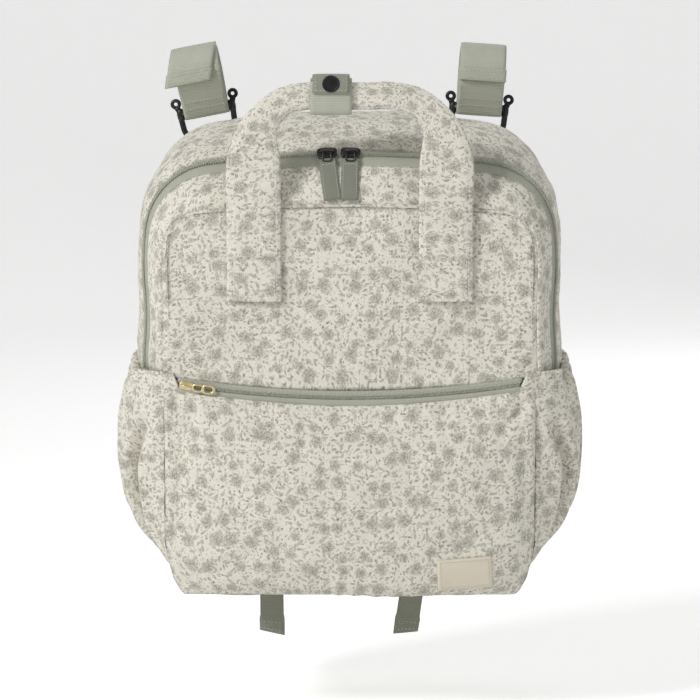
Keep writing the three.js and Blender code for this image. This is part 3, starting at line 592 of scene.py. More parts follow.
def hard_material(name, colour, roughness, metallic, worn, grain=260.0):
    """Enamelled, plated or moulded: fine grain, smudges and paler worn edges."""
    n = Nodes(name)
    place = n.place()
    smudge = n.noise(place, 60.0, 3.0, 0.6, "3D")
    edge = n.node("NewGeometry").outputs["Pointiness"]
    rubbed = n.mul(n.step(edge, 0.52, 0.62), n.step(smudge, 0.35, 0.65))
    tinted = n.mix(smudge, linear(*colour), linear(*(min(255, c * 1.35 + 6) for c in colour)))
    n.bump(n.noise(place, grain * 10, dimensions="3D"), 0.12, 0.0002)
    made = n.mix(n.mul(rubbed, 0.6), tinted, linear(*worn))
    return n.finish(made, n.mad(smudge, 0.22, roughness - 0.08), metallic)


PRINT = print_material("floral_print", (233, 229, 216))
# a darker copy of the print: painted shade for the back panel and the shoulder pads
PRINT_SHADE = print_material("floral_print_painted_shade", (228, 225, 213))
SAGE = webbing_material("sage_webbing", (184, 187, 170))
SAGE_TAPE = webbing_material("sage_zip_tape", (178, 180, 164), 0.84, 0.11)
# a darker copy of the sage webbing: painted shade for the wrap's leaf and the strap tails
SAGE_SHADED = webbing_material("sage_webbing_painted_shade", (144, 147, 131))
RIBBON = webbing_material("sage_ribbon", (130, 133, 118), 0.80, 0.10)
COIL = hard_material("zip_coil", (158, 160, 145), 0.5, 0.0, (182, 184, 170))
THREAD = plain_cloth("thread", (236, 233, 222), 30.0)
SAGE_THREAD = plain_cloth("sage_thread", (196, 198, 182), 30.0)
LABEL = plain_cloth("label_cloth", (226, 218, 198), 14.0, 0.06)
LINING = plain_cloth("lining_cloth", (188, 192, 176), 18.0)
FOAM = hard_material("foam", (206, 206, 200), 0.95, 0.0, (220, 220, 214), 40.0)
BOARD = hard_material("board", (52, 52, 54), 0.7, 0.0, (90, 90, 92))
BLACK = hard_material("black_enamel", (26, 26, 28), 0.34, 0.55, (120, 118, 112))
PLASTIC = hard_material("black_plastic", (30, 30, 32), 0.46, 0.0, (74, 74, 76))
GOLD = hard_material("pale_gold", (204, 178, 138), 0.3, 0.9, (232, 216, 186))


# ---------------------------------------------------------------- bag outline
FRONT_Y, BACK_Y, ZIP_Y, FOLD_Z = -62.0, 80.0, -35.0, 181.0
BASE_FLAT, BASE_HALF, WAIST_Z, FOOT_Z = 112.0, 127.0, 185.0, 14.0
PANEL, SEAM, LINING_IN = 3.6, 1.8, 7.2
TOP_STITCH = (2.6, 3.6, 0.4)  # length, pitch and radius
# depth, half width at the waist and at the shoulder, height, corner radius, rise of the crown
SECTIONS = np.array([
    (FRONT_Y, 152, 151, 319, 34, 5), (ZIP_Y, 166, 166, 355.3, 60, 6), (10, 170, 168, 375, 68, 8),
    (55, 170, 165, 385, 70, 9), (71, 168, 163, 385, 70, 9), (BACK_Y, 162, 157, 380, 66, 9)], float)
BASE_N, FOOT_N, SIDE_N, UPPER_N, CORNER_N, CROWN_N = 14, 6, 34, 18, 16, 22
I_FOLD = BASE_N + FOOT_N + SIDE_N
I_SHOULDER = I_FOLD + UPPER_N
RING = 2 * (I_SHOULDER + CORNER_N + CROWN_N)
ARCH = slice(I_FOLD, RING - I_FOLD + 1)


def side_x(waist, z):
    """Half width at a height: the sides lean in towards the base."""
    return waist - (waist - BASE_HALF) * np.maximum(0, 1 - z / WAIST_Z) ** 2


def half_ring(y):
    """The outline on the right at one depth, from the middle of the base to the middle of the top."""
    waist, half, top, corner, crown = along(SECTIONS[:, 1:], SECTIONS[:, 0], y)
    flat, shoulder = half - corner, top - crown - corner
    radius = (flat * flat + crown * crown) / (2 * crown)
    low = np.linspace(0, BASE_FLAT, BASE_N + 1)
    foot = np.linspace(0, 1, FOOT_N + 1)[1:, None]
    a, b, c = np.array([[BASE_FLAT, 0], [BASE_HALF - 1.5, 0.6], [side_x(waist, FOOT_Z), FOOT_Z]])
    side = np.linspace(FOOT_Z, FOLD_Z, SIDE_N + 1)[1:]
    upper = np.linspace(FOLD_Z, shoulder, UPPER_N + 1)[1:]
    share = (upper - FOLD_Z) / (shoulder - FOLD_Z)
    return np.vstack([
        np.stack([low, low * 0], 1),
        (1 - foot) ** 2 * a + 2 * (1 - foot) * foot * b + foot ** 2 * c,
        np.stack([side_x(waist, side), side], 1),
        np.stack([side_x(waist, upper) * (1 - share) + half * share, upper], 1),
        arc(flat, shoulder, corner, np.linspace(0, PI / 2, CORNER_N + 1)[1:]),
        arc(0, top - radius, radius, np.linspace(math.acos(flat / radius), PI / 2, CROWN_N + 1)[1:])])


def ring(y, inset=0.0):
    """The whole outline at one depth, from the middle of the base, up the left side and round."""
    right = half_ring(y)
    for _ in range(3):
        right[1:-1] = (right[:-2] + 2 * right[1:-1] + right[2:]) / 4
    loose = 0.9 * (1 - smoothstep(230, 330, right[:, 1])) * smoothstep(0, 60, right[:, 0])
    ahead = tangents(right)
    bumps = waves(np.insert(right, 2, 0, axis=1), 70, 5) * loose
    right += np.stack([ahead[:, 1], -ahead[:, 0]], 1) * bumps[:, None]
    made = np.insert(np.vstack([right * [-1, 1], right[-2:0:-1]]), 1, y, axis=1)
    ahead = np.roll(made, -1, 0) - np.roll(made, 1, 0)
    return made + inset * unit(np.stack([ahead[:, 2], ahead[:, 1] * 0, -ahead[:, 0]], 1))


def rings(ys, inset=0.0, rows=slice(None)):
    """Outlines at several depths as a grid: round the bag, then from front to back."""
    return np.stack([ring(y, inset)[rows] for y in ys], 1)


def coons(bottom, right, top, left):
    """A grid inside four joined curves; bottom and top run left to right, the sides run up."""
    u = np.linspace(0, 1, len(bottom))[:, None, None]
    v = np.linspace(0, 1, len(left))[None, :, None]
    rim = (1 - v) * bottom[:, None] + v * top[:, None] + (1 - u) * left + u * right
    return rim - (1 - u) * ((1 - v) * bottom[0] + v * top[0]) - u * ((1 - v) * bottom[-1] + v * top[-1])


def cap_grid(y, low, inset):
    """A face of the bag at one depth, above ring index low (I_FOLD for the flap)."""
    whole = ring(y, inset)
    mid = I_SHOULDER + CORNER_N // 2
    left, right = whole[low:mid + 1], whole[-np.arange(low, mid + 1)]
    top = whole[mid:RING - mid + 1]
    base = whole[[low, -low]] if low == I_FOLD else whole[np.arange(low, -low - 1, -1)]
    bottom = along(base, np.arange(len(base)), np.linspace(0, len(base) - 1, len(top)))
    return coons(bottom, right, top, left)


def with_rims(grid, reaches):
    """The grid with lines of points added close inside its left, right and top edges."""
    def beside(edge, inner, order):
        return [edge + unit(inner - edge) * reach for reach in reaches[::order]]

    left, right = beside(grid[0], grid[1], 1), beside(grid[-1], grid[-2], -1)
    grid = np.stack([grid[0], *left, *grid[1:-1], *right, grid[-1]])
    top = beside(grid[:, -1], grid[:, -2], -1)
    return np.stack([*np.moveaxis(grid[:, :-1], 1, 0), *top, grid[:, -1]], 1)


# ---------------------------------------------------------------- shell and lining
FLAP_END = -29.0
shell_y = np.concatenate([[FRONT_Y + SEAM, -59.2, -57, -54, -50, -46, -41, -35, FLAP_END, -26.5, -22],
                          np.linspace(-15, 70, 19), [73, 75.5, 77.2, BACK_Y - SEAM]])
shell_base = rings(shell_y)
rows = np.arange(RING)
over_top = (rows >= I_FOLD) & (rows < RING - I_FOLD)
arched = over_top[:, None]
front_edge = np.where(arched, FLAP_END, FRONT_Y)
near = np.minimum(np.abs(shell_y - front_edge - SEAM * ~arched), np.abs(BACK_Y - SEAM - shell_y))
puff = ease(near, 13, 0.75)
middle = np.sin(PI * np.clip((shell_y - front_edge) / (BACK_Y - front_edge), 0, 1))
shell_lift = puff * (3.2 + cloth_lift(shell_base, 11, 1.4, 0.45)) + 3.0 * middle - SEAM
shell_seams = (ring(FRONT_Y + SEAM), ring(BACK_Y - SEAM), ring(FLAP_END)[over_top])
for seed, seam in enumerate(shell_seams, 1):
    shell_lift += puckers(shell_base, seam, seed, 1.3, 14, 15) * puff
on_base = np.clip(1 - shell_base[..., 2] / 10, 0, 1)
shell_lift = shell_lift * (1 - on_base) + (0.9 * puff - SEAM) * on_base
front_seam = ring(FRONT_Y, SEAM) + [0, SEAM, 0]
back_seam = ring(BACK_Y, SEAM) - [0, SEAM, 0]
panel("gusset_cover", PRINT, shell_base, shell_lift, PANEL, closed=True,
      mask=~(arched & (shell_y[:-1] < FLAP_END - 0.5)),
      pins=((0, ~over_top, front_seam), (-1, slice(None), back_seam)))

# the pocket's zip line sags towards the middle
SAG_LOW, ZIP_HALF = 161.5, 149
SAG_R = (138.0 ** 2 + 11.0 ** 2) / 22
SAG_Z = SAG_LOW + SAG_R
# creases in the wall and the flap beside the ends of the pocket's zip
ZIP_END_LINES = ((-149, 184, -138, 163), (147, 196, 136, 176))


def pocket_zip_z(x):
    return SAG_Z - np.sqrt(SAG_R ** 2 - np.square(x))


front_low = ring(FRONT_Y, SEAM)[BASE_N - 1:I_FOLD]
front_low = front_low[front_low[:, 2] < 158]
wall_half, wall_z = -front_low[:, 0], front_low[:, 2]
shares = np.array([0.4, 0.75, 1.0])
wall_x = np.linspace(-1, 1, 61)[:, None] * np.append(wall_half, wall_half[-1] + 1.2 * shares)
wall_top = wall_z[-1] + (pocket_zip_z(wall_x[:, -3:]) + 2.5 - wall_z[-1]) * shares
wall_z = np.hstack([np.tile(wall_z, (61, 1)), wall_top])
wall_base = np.stack([wall_x, np.full_like(wall_x, FRONT_Y), wall_z], -1)
wall_lift = edge_dip(wall_base, top_sewn=False) * (1.4 + cloth_lift(wall_base, 21, 0.3, 0.1)) - SEAM
wall_lift += creases(wall_base, [(*line, 2.6, 2.4) for line in ZIP_END_LINES])
panel("front_wall_cover", PRINT, wall_base, wall_lift, PANEL - 0.4, uv_start=(30, 0))


def quilt(points, pitch):
    """Puffed diamonds for padded panels."""
    x, _, z = np.moveaxis(points, -1, 0)
    return np.minimum(*[np.abs(np.sin(slant * PI / pitch)) for slant in (x + z, x - z)]) ** 0.6


def line_with(name, base, uneven, scale, seed, **how):
    """A panel of lining, a little uneven."""
    panel(name, LINING, base, uneven * waves(base, scale, seed), 0.9, **how)


back_base = cap_grid(BACK_Y, BASE_N + 3, SEAM)
back_dip = edge_dip(back_base)
deep = np.clip(edge_dip(back_base, 9) * 1.4 - 0.4, 0, 1)
back_lift = back_dip * (2.6 + 0.5 * waves(back_base, 80, 31)) + deep * 1.6 * quilt(back_base, 62) - SEAM
back_lift += puckers(back_base, ring(BACK_Y), 10, 0.8, 14, 14) * back_dip
panel("back_panel_cover", PRINT_SHADE, back_base, back_lift, PANEL, uv_start=(60, 0), flip=True)
piece("back_piping", [tube_part(ring(BACK_Y - 0.6), 2.1, closed=True)], PRINT, "bag")

inner_y = np.linspace(-54, 66, 22)
line_with("lining_cover", rings(inner_y, LINING_IN), 0.25, 40, 41, closed=True,
          mask=~(arched & (inner_y[:-1] < -30)))
line_with("lining_back", cap_grid(67.0, BASE_N + 3, 8.4), 0.4, 60, 42)
lining_front = wall_base * [0.945, 1, 1] + [0, 7.6, 0]
lining_front[..., 2] = np.maximum(lining_front[..., 2], 8.5)
line_with("lining_front", lining_front, 0.2, 50, 43)

inner_x, inner_z = grid_of(110 * np.linspace(-1, 1, 90), np.linspace(20, 180, 40))
gather = np.clip((inner_z - 120) / 60, 0, 1) ** 1.5 * np.sin(inner_x * 2 * PI / 9 + 2 * np.sin(inner_x / 13))
inner_base = np.stack([inner_x, 62 - 12 * np.cos(PI * inner_x / 224) ** 0.7, inner_z], -1)
panel("inner_pocket_cover", LINING, inner_base, 1.3 * gather, 1.0,
      nodes=("inner_pocket", "inner_pocket_elastic"))

# ---------------------------------------------------------------- front flap
# creases on the flap: x and z of both ends, depth, width
FLAP_CREASES = [(*line, 4.2, 2.2) for line in ZIP_END_LINES] + [
    (-128, 214, -60, 190, 1.9, 8.0), (126, 226, 58, 194, 1.9, 8.0), (-104, 238, -122, 206, 1.6, 6.0),
    (104, 238, 124, 208, 1.6, 6.0), (-50, 240, -34, 208, 1.4, 7.0), (50, 240, 30, 206, 1.4, 7.0),
    (-34, 300, 30, 296, 3.4, 19.0), (-58, 262, -20, 244, 1.6, 9.0), (60, 260, 26, 244, 1.5, 9.0),
    (-138, 286, -112, 262, 1.6, 6.0), (138, 290, 112, 264, 1.6, 6.0)]
FLAP_BEND = ("bag", "front_flap", (0, -0.062, 0.177), (0, -0.062, 0.192))

flap_base = cap_grid(FRONT_Y, I_FOLD, SEAM)
hem = np.repeat(flap_base[:, :1], 3, axis=1)
hem_z = pocket_zip_z(np.clip(hem[..., 0], -ZIP_HALF, ZIP_HALF)) + 4.5
hem[..., 2] = hem_z + (FOLD_Z - hem_z) * (0, 0.3, 0.65)
flap_base = with_rims(np.concatenate([hem, flap_base], 1), (1.5, 4.2))
sewn_edge = np.concatenate([flap_base[0], flap_base[:, -1], flap_base[-1]])
flap_dip = ease(np.linalg.norm(flap_base[:, :, None] - sewn_edge, axis=-1).min(-1), 6.0)
swell = np.cos(np.clip(flap_base[..., 0] / 150, -1, 1) * PI / 2)
swell = swell * np.sin(np.clip((flap_base[..., 2] - 176) / 145, 0, 1) * PI)
loose = cloth_lift(flap_base, 51, 0.8, 0.3) + 1.5 * waves(flap_base, 150, 55)
flap_lift = flap_dip * (2.6 + 1.2 * swell + loose) - SEAM + creases(flap_base, FLAP_CREASES)
flap_lift += puckers(flap_base, ring(FRONT_Y, SEAM)[ARCH], 4, 1.2, 13, 15)
face_part, flap_face = cloth_part(flap_base, flap_lift, PANEL, uv_start=(0, 20))

box_y = np.array([FRONT_Y, -61.2, -60, -58, -55, -51.5, -48, -44.5, -41.8, -40.8])
boxing_base = rings(box_y, rows=ARCH)
near = np.minimum(box_y - FRONT_Y, (box_y[-1] - box_y) * 1.6)
boxing_lift = ease(near, 5) * (2.6 + cloth_lift(boxing_base, 52, 0.8, 0.3)) - SEAM
boxing_lift += puckers(boxing_base, ring(FRONT_Y)[ARCH], 5, 1.0, 13, 9)
boxing_part, _ = cloth_part(boxing_base, boxing_lift, PANEL, uv_start=(9, 44),
                            pins=((0, slice(None), front_seam[ARCH]),))
piece("front_flap_cover", [face_part, boxing_part], PRINT, FLAP_BEND)
flap_seam = np.concatenate([flap_face[2, :-3], flap_face[2:-2, -3], flap_face[-3, :-3][::-1]])
sew("flap_seam_stitching", [(flap_seam, FRONT, 0.15, *TOP_STITCH)], THREAD, "front_flap")
line_with("flap_lining_face", cap_grid(-54.4, I_FOLD, 7.4), 0.2, 50, 61,
          body="front_flap", nodes=("flap_lining",))
line_with("flap_lining_side", rings(np.linspace(-54.2, -41, 7), LINING_IN, ARCH), 0.2, 40, 62,
          body="front_flap")

# ---------------------------------------------------------------- main zip
ZIP_TOP = 355.3
ARC_RADIUS = (106.0 ** 2 + 6.0 ** 2) / 12
RISE = math.atan2(ZIP_TOP - 319.0, 27.0)

for name, tape_y, seed, body in (("flap", (-42.2, -41, -39, -37, -36.1, -35.3), 71, "front_flap"),
                                 ("shell", (-34.7, -33.9, -33, -31, -29.4, -27.6), 72, "bag")):
    base = rings(tape_y, rows=ARCH)
    panel(f"{name}_zip_tape_cover", SAGE_TAPE, base, 0.12 * waves(base, 30, seed) - 0.7, 1.0, body=body)


def coil_parts(path, normals, across, pitch, side, start):
    """Coil teeth along one tape: rounded bars, each turned in over the tape's edge."""
    run = lengths(path)
    spots = np.arange(start, run[-1] - 1, pitch)
    size, made = (2.3, pitch * 0.62, 1.3), []
    for p, n, a in zip(*[along(values, run, spots) for values in (path, normals, across)]):
        n, a = unit(n), unit(a)
        made.append(box_part(p + a * side * 1.05 + n * 0.35, size, (a, unit(np.cross(a, n)), n), 0.3))
    return made


zip_line = rings((-36.5, ZIP_Y, -33.5), rows=ARCH)
zip_guides = zip_line[:, 1], grid_normals(zip_line)[:, 1], unit(zip_line[:, 2] - zip_line[:, 0])
piece("flap_zip_teeth", coil_parts(*zip_guides, 2.0, -1, 2.0), COIL, "front_flap", ("flap_zip_coil",))
piece("shell_zip_teeth", coil_parts(*zip_guides, 2.0, 1, 3.0), COIL, "bag", ("shell_zip_coil",))
for y, body in ((-41.9, "front_flap"), (-28.2, "bag")):
    line = rings((y - 1.6, y, y + 1.6), rows=ARCH)
    seam = (line[:, 1], grid_normals(line)[:, 1], 0.6, 2.4, 3.4, 0.38)
    sew(f"zip_edge_stitching_{body}", [seam], SAGE_THREAD, body)


def on_zip(points, x):
    """Turns points drawn flat to a place along the main zip, whose top is an arc."""
    return swing(tip(points, RISE, ZIP_Y, ZIP_TOP), math.asin(x / ARC_RADIUS), ZIP_TOP - ARC_RADIUS)


def slider_parts(scale=1.0):
    """A zip slider lying flat, nose towards +X: top plate, cheeks and bridge."""
    outline = oval(0, 8 * scale, 4.6 * scale, 36, (0.55, 0.5))
    outline[:, 1] *= 1 + 0.12 * np.cos(2 * PI * np.arange(36) / 36)
    cheeks = [box_part((0, y * scale, 0.6 * scale), (14 * scale, 1.0, 2.4 * scale)) for y in (-4.1, 4.1)]
    angle = np.linspace(0, PI, 12)
    bridge = np.stack([-4.6 * np.cos(angle), angle * 0, 3.0 + 2.4 * np.sin(angle)], 1) * scale
    plate = plate_part(outline, 1.5 * scale, 3.2 * scale, 0.6)
    return [plate, *cheeks, tube_part(bridge, 0.95 * scale, squash=1.5)]


def ribbon_grid(lean):
    """The ribbon folded round a slider's lug, drawn flat and turned by lean about the lug."""
    u, v = grid_of(np.linspace(0, 1, 30), np.linspace(-0.5, 0.5, 9))
    x, y = v * 14.3 * (1 - 0.06 * np.exp(-u * 14)), -39 * u
    z = 2.5 + 0.9 * np.exp(-u * 18) + 0.5 * np.sin(u * 7) + 0.25 * np.cos(v * 5)
    c, s = math.cos(lean), math.sin(lean)
    return np.stack([x * c - y * s, x * s + y * c - 6.4, z], -1)


# the little wire loop that carries the ribbon
lug = spline([[-2.6, -1.0, 4.4], [-3.0, -4.0, 4.9], [-3.1, -8.5, 3.4],
              [3.1, -8.5, 3.4], [3.0, -4.0, 4.9], [2.6, -1.0, 4.4]], 5, closed=True)
for side, x, mirror, lean in (("left", -18.5, 1, 6), ("right", 0.5, -1, -1.5)):
    parts = moved(slider_parts(), np.multiply, [mirror, 1, 1]) + [tube_part(lug, 0.75, 8, closed=True)]
    piece(f"main_slider_{side}_cover", moved(parts, on_zip, x), BLACK, f"main_slider_{side}")
    name = f"pull_ribbon_{side}"
    grid = panel(f"{name}_cover", RIBBON, on_zip(ribbon_grid(math.radians(lean)), x), 0, 1.1, body=name)
    normals = grid_normals(grid)
    seams = [(grid[4, 1:-1] + 0.25 * normals[4, 1:-1], normals[4, 4], 0, 1.8, 2.5, 0.35)]
    seams += [(grid[2:-1, k] + 0.2 * normals[2:-1, k], normals[5, 4], 0, 1.8, 2.6, 0.28) for k in (1, 7)]
    sew(f"{name}_stitching", seams, SAGE_THREAD, name)

# ---------------------------------------------------------------- front pocket
POCKET_HALF, POCKET_FOOT = 149.0, 2.0
POCKET_CREASES = [
    (-146, 160, -122, 136, 3.2, 4.0), (146, 162, 120, 134, 3.2, 4.0), (-138, 128, -142, 58, 2.2, 6.0),
    (138, 122, 143, 56, 2.2, 6.0), (-128, 16, -70, 40, 2.0, 7.0), (118, 56, 60, 36, 1.8, 8.0),
    (-86, 154, -30, 112, 1.8, 9.0), (92, 156, 34, 118, 1.8, 9.0), (-20, 156, 8, 128, 1.2, 8.0),
    (-110, 92, -64, 70, 1.4, 11.0), (20, 76, 74, 92, 1.3, 12.0), (-30, 12, 20, 30, 1.2, 9.0)]


def pocket_edge(z):
    """Half width of the pocket at a height; its lower corners are round."""
    away = np.maximum(0, 1 - z / 56)
    return POCKET_HALF - 22 * (1 - np.sqrt(np.maximum(0, 1 - away * away)))


def pocket_y(x, z):
    rise = np.sin(PI * np.clip(z / 168, 0, 1) ** 0.6) ** 0.8
    across = 1 - np.minimum(1, np.abs(x) / (pocket_edge(z) + 1)) ** 3.5
    return FRONT_Y - 3.3 - 22 * rise * across


pocket_v = np.concatenate([[0, 0.008, 0.02, 0.04], np.linspace(0.065, 0.93, 52), [0.95, 0.97, 0.985, 1.0]])
gu, gv = grid_of(np.linspace(-1, 1, 121), pocket_v)
pz = POCKET_FOOT + (pocket_zip_z(gu * POCKET_HALF) - 5.2 - POCKET_FOOT) * gv
px = gu * pocket_edge(pz)
pocket_base = np.stack([px, pocket_y(px, pz), pz], -1)
hem, ends, foot = ease(1 - gv, 0.05), ease(1 - np.abs(gu), 0.035), ease(gv, 0.03)
tuck = 0.5 * np.sin(px / 4.1 + 1.6 * np.sin(px / 17)) + 0.35 * np.sin(px / 8.3 + 2)
tuck *= np.exp(-((1 - gv) / 0.16) ** 1.2)
pocket_lift = (hem * ends * foot - 1) * 1.2 + 0.45 * tuck * hem + creases(pocket_base, POCKET_CREASES)
pocket_lift += ends * foot * (hem * cloth_lift(pocket_base, 81, 1.6, 0.5) + 1.9 * waves(pocket_base, 160, 85))
pocket_seams = (pocket_base[0], pocket_base[-1], pocket_base[:, 0], pocket_base[:, -1])
for seam, seed, height in zip(pocket_seams, (6, 7, 8, 9), (1.5, 1.5, 1.0, 1.5)):
    pocket_lift += puckers(pocket_base, seam, seed, height, 15, 20)
pocket_face = panel("front_pocket_cover", PRINT, pocket_base, pocket_lift, 2.6, uv_start=(70, 30))
normals = grid_normals(pocket_face)
seams = [(pocket_face[3:-3, -3], normals[3:-3, -3], 0.15, 2.6, 3.6, 0.42)]
seams += [(pocket_face[k, 4:-4], normals[k, 4:-4], 0.15, 2.6, 3.6, 0.38) for k in (3, -4)]
sew("front_pocket_stitching", seams, THREAD, "bag")


def zip_band(low, high, half, y, bulge=0.0):
    """A tape along the pocket's zip between two heights above its line."""
    x, h = grid_of(np.linspace(-half, half, 90), np.linspace(low, high, 7))
    angle, share = np.arcsin(x / SAG_R), (h - low) / (high - low)
    x = (SAG_R - h) * np.sin(angle)
    y = y - bulge * np.sin(PI * share) + 0.15 * np.sin(x / 9)
    return np.stack([x, y, SAG_Z - (SAG_R - h) * np.cos(angle)], -1)


upper = zip_band(0.6, 5.6, 138.5, FRONT_Y - 2.4, 0.7)
upper[..., 2] = np.minimum(upper[..., 2], FOLD_Z - 0.6)
lower = zip_band(-6.6, -1.3, 137, FRONT_Y - 4.2, 0.5)
panel("pocket_tape_upper_cover", SAGE_TAPE, upper, 0, 0.9, nodes=("pocket_zip_tape_upper",))
panel("pocket_tape_lower_cover", SAGE_TAPE, lower, 0, 0.9, nodes=("pocket_zip_tape_lower",))
seams = [zip_band(*band)[:, 0] for band in ((2.0, 3.0, 138, FRONT_Y - 3.35), (4.5, 4.9, 136, FRONT_Y - 3.0))]
sew("pocket_tape_stitching", [(seam, FRONT, 0, 2.4, 3.4, 0.34) for seam in seams], SAGE_THREAD, "bag")
zip_x = np.linspace(-137, 137, 180)
zip_guides = (np.stack([zip_x, np.full(180, FRONT_Y - 2.6), pocket_zip_z(zip_x)], 1),
              np.tile(FRONT, (180, 1)), np.tile([0.0, 0, 1], (180, 1)))
teeth = coil_parts(*zip_guides, 1.9, -0.8, 1.0) + coil_parts(*zip_guides, 1.9, 0.8, 1.95)
piece("pocket_zip_teeth", teeth, COIL, "bag", ("pocket_zip_coil",))

# the cloth folded over each end of the pocket's zip
a, b = grid_of(np.linspace(0, 1, 16), np.linspace(-1, 1, 19))
z = pocket_zip_z(141) + 0.5 + 8.4 * b
edge_x = 138.0 + 0.42 * 8.4 * b
proud = (4.9 * (1 - a) ** 0.8 + 0.4) * (1 - np.abs(b) ** 4) ** 0.7 * (1 - 0.35 * np.exp(-a / 0.06))
fold = np.stack([edge_x + (151.0 - edge_x) * a, FRONT_Y - 1.0 - proud + 0.2 * np.sin(z / 1.9), z], -1)
for side, sign in (("left", -1), ("right", 1)):
    face = fold * [sign, 1, 1]
    sheets = (face, face + [0, 1.3, 0])[::sign]
    piece(f"pocket_zip_end_{side}", [panel_part(*sheets, uv_start=(3, 60))], PRINT, "bag")


def on_pocket_zip(points):
    """Stands points drawn flat up to face the front, at the pocket slider's resting place."""
    x, y, z = np.moveaxis(points, -1, 0)
    return swing(np.stack([x, FRONT_Y - 3.4 - z, SAG_LOW + y], -1), math.asin(131 / SAG_R), SAG_Z)


piece("pocket_slider_cover", moved(slider_parts(0.72), on_pocket_zip), GOLD, "pocket_slider")
# the pull is two open links joined by a block, with a bar across its end
PULL_Z = 4.1
pull = [tube_part(np.insert(oval(*link), 2, PULL_Z, axis=1), radius, 8, closed=True)
        for link, radius in (((9.6, 4.2, 2.7), 0.95), ((17.8, 4.4, 3.1), 1.05))]
pull += [box_part((13.7, 0, PULL_Z), (2.6, 3.4, 1.7), bevel=0.3),
         box_part((22.4, 0, PULL_Z), (2.2, 4.4, 1.8), bevel=0.35)]
piece("pocket_pull_cover", moved(pull, on_pocket_zip), GOLD, "pocket_pull")


def face_y(x, z):
    """Depth of the finished pocket's face at each place."""
    flat = pocket_face.reshape(-1, 3)
    away = (flat[:, 0] - x[..., None]) ** 2 + (flat[:, 2] - z[..., None]) ** 2
    near = np.argpartition(away, 4, axis=-1)[..., :4]
    share = 1 / (np.take_along_axis(away, near, -1) + 0.3)
    return (flat[near, 1] * share).sum(-1) / share.sum(-1)


# the label, blank, sewn round its border
LABEL_HALF, LABEL_LEAN = (22, 13), math.radians(3)
lu, lv = grid_of(*[np.linspace(-half, half, count) for half, count in zip(LABEL_HALF, (34, 22))])
c, s = math.cos(LABEL_LEAN), math.sin(LABEL_LEAN)
lx, lz = 92 + lu * c - lv * s, 21.5 + lu * s + lv * c
rounded = np.minimum(1, np.minimum(LABEL_HALF[0] - np.abs(lu), LABEL_HALF[1] - np.abs(lv)) / 1.5)
label_base = np.stack([lx, face_y(lx, lz) - 1.5 + 0.5 * (1 - rounded), lz], -1)
label = panel("label_patch_cover", LABEL, label_base, 0, 0.9)
border = (label[2:32, 2], label[2:32, 19], label[2, 2:20], label[31, 2:20])
sew("label_stitching", [(line, FRONT, 0.12, 1.6, 2.3, 0.26) for line in border], SAGE_THREAD, "bag")


# ---------------------------------------------------------------- side pockets
# where the pocket's middle runs, in X and Z, from its foot to its hem
side_line = spline([[131, 2], [141, 16], [162, 41], [181, 69],
                    [189, 110], [189, 142], [185, 168], [178, 187]], 12)
# tucks: their heights and places round the pocket; depth, width, and the ridges beside them
SIDE_TUCKS = (((30, 70, 105, 138), (0.185, 0.14, 0.12, 0.05), 14.0, 0.026, 4.6),
              ((48, 90, 120, 165), (0.34, 0.31, 0.28, 0.24), 6.5, 0.028, 2.2),
              ((20, 60, 110, 168), (0.55, 0.60, 0.58, 0.52), 4.6, 0.04, 1.8),
              ((30, 80, 130, 160), (0.86, 0.82, 0.84, 0.88), 6.0, 0.028, 2.0))

su, sv = grid_of(np.linspace(0, 1, 140) ** 1.4, np.linspace(0, 1, 64))
out_x, side_z = np.moveaxis(along(side_line, np.linspace(0, 1, len(side_line)), sv), -1, 0)
side_y, side_z = -63.6 + 137.6 * su, side_z - 6 * sv * (1 - su)
wall = side_x(np.interp(side_y, *SECTIONS.T[:2]), side_z) + 3.7
seam_x = pocket_edge(side_z) - 0.2 + 0.35 * np.sin(side_z / 5.3) + 0.25 * np.sin(side_z / 2.1)
wall += (seam_x - wall) * (1 - smoothstep(0, 0.05, su))
swell = np.sin(PI * su)
side_base = np.stack([wall + np.maximum(0, out_x - wall) * swell ** 0.6, side_y, side_z], -1)
gather = np.exp(-((1 - sv) / 0.25) ** 1.3) * swell ** 0.5
ruffle = np.sin(su * 2 * PI * 12 + 1.8 * np.sin(su * 19)) + 0.5 * np.sin(su * 2 * PI * 27 + 1)
side_lift = 2.7 * gather * ruffle * np.clip(1.15 - 0.4 * np.abs(sv - 0.97) / 0.03, 0.55, 1)
side_lift += swell ** 0.3 * cloth_lift(side_base, 91, 1.7, 0.7)
for heights, places, depth, width, ridge in SIDE_TUCKS:
    away = (su - np.interp(side_z, heights, places)) / width
    share = (side_z - heights[0] + 12) / (heights[-1] - heights[0] + 24)
    beside = np.exp(-((away - 2.2) / 1.3) ** 2) + 0.8 * np.exp(-((away + 2.0) / 1.2) ** 2)
    side_lift += np.sin(PI * np.clip(share, 0, 1)) ** 0.7 * (ridge * beside - depth * np.exp(-away ** 2))
side_lift -= 0.7 * np.exp(-(((sv - 0.945) / 0.02) ** 2))
side_lift *= ease(np.minimum(su, 1 - su), 0.03, 1)
outward = grid_normals(side_base)
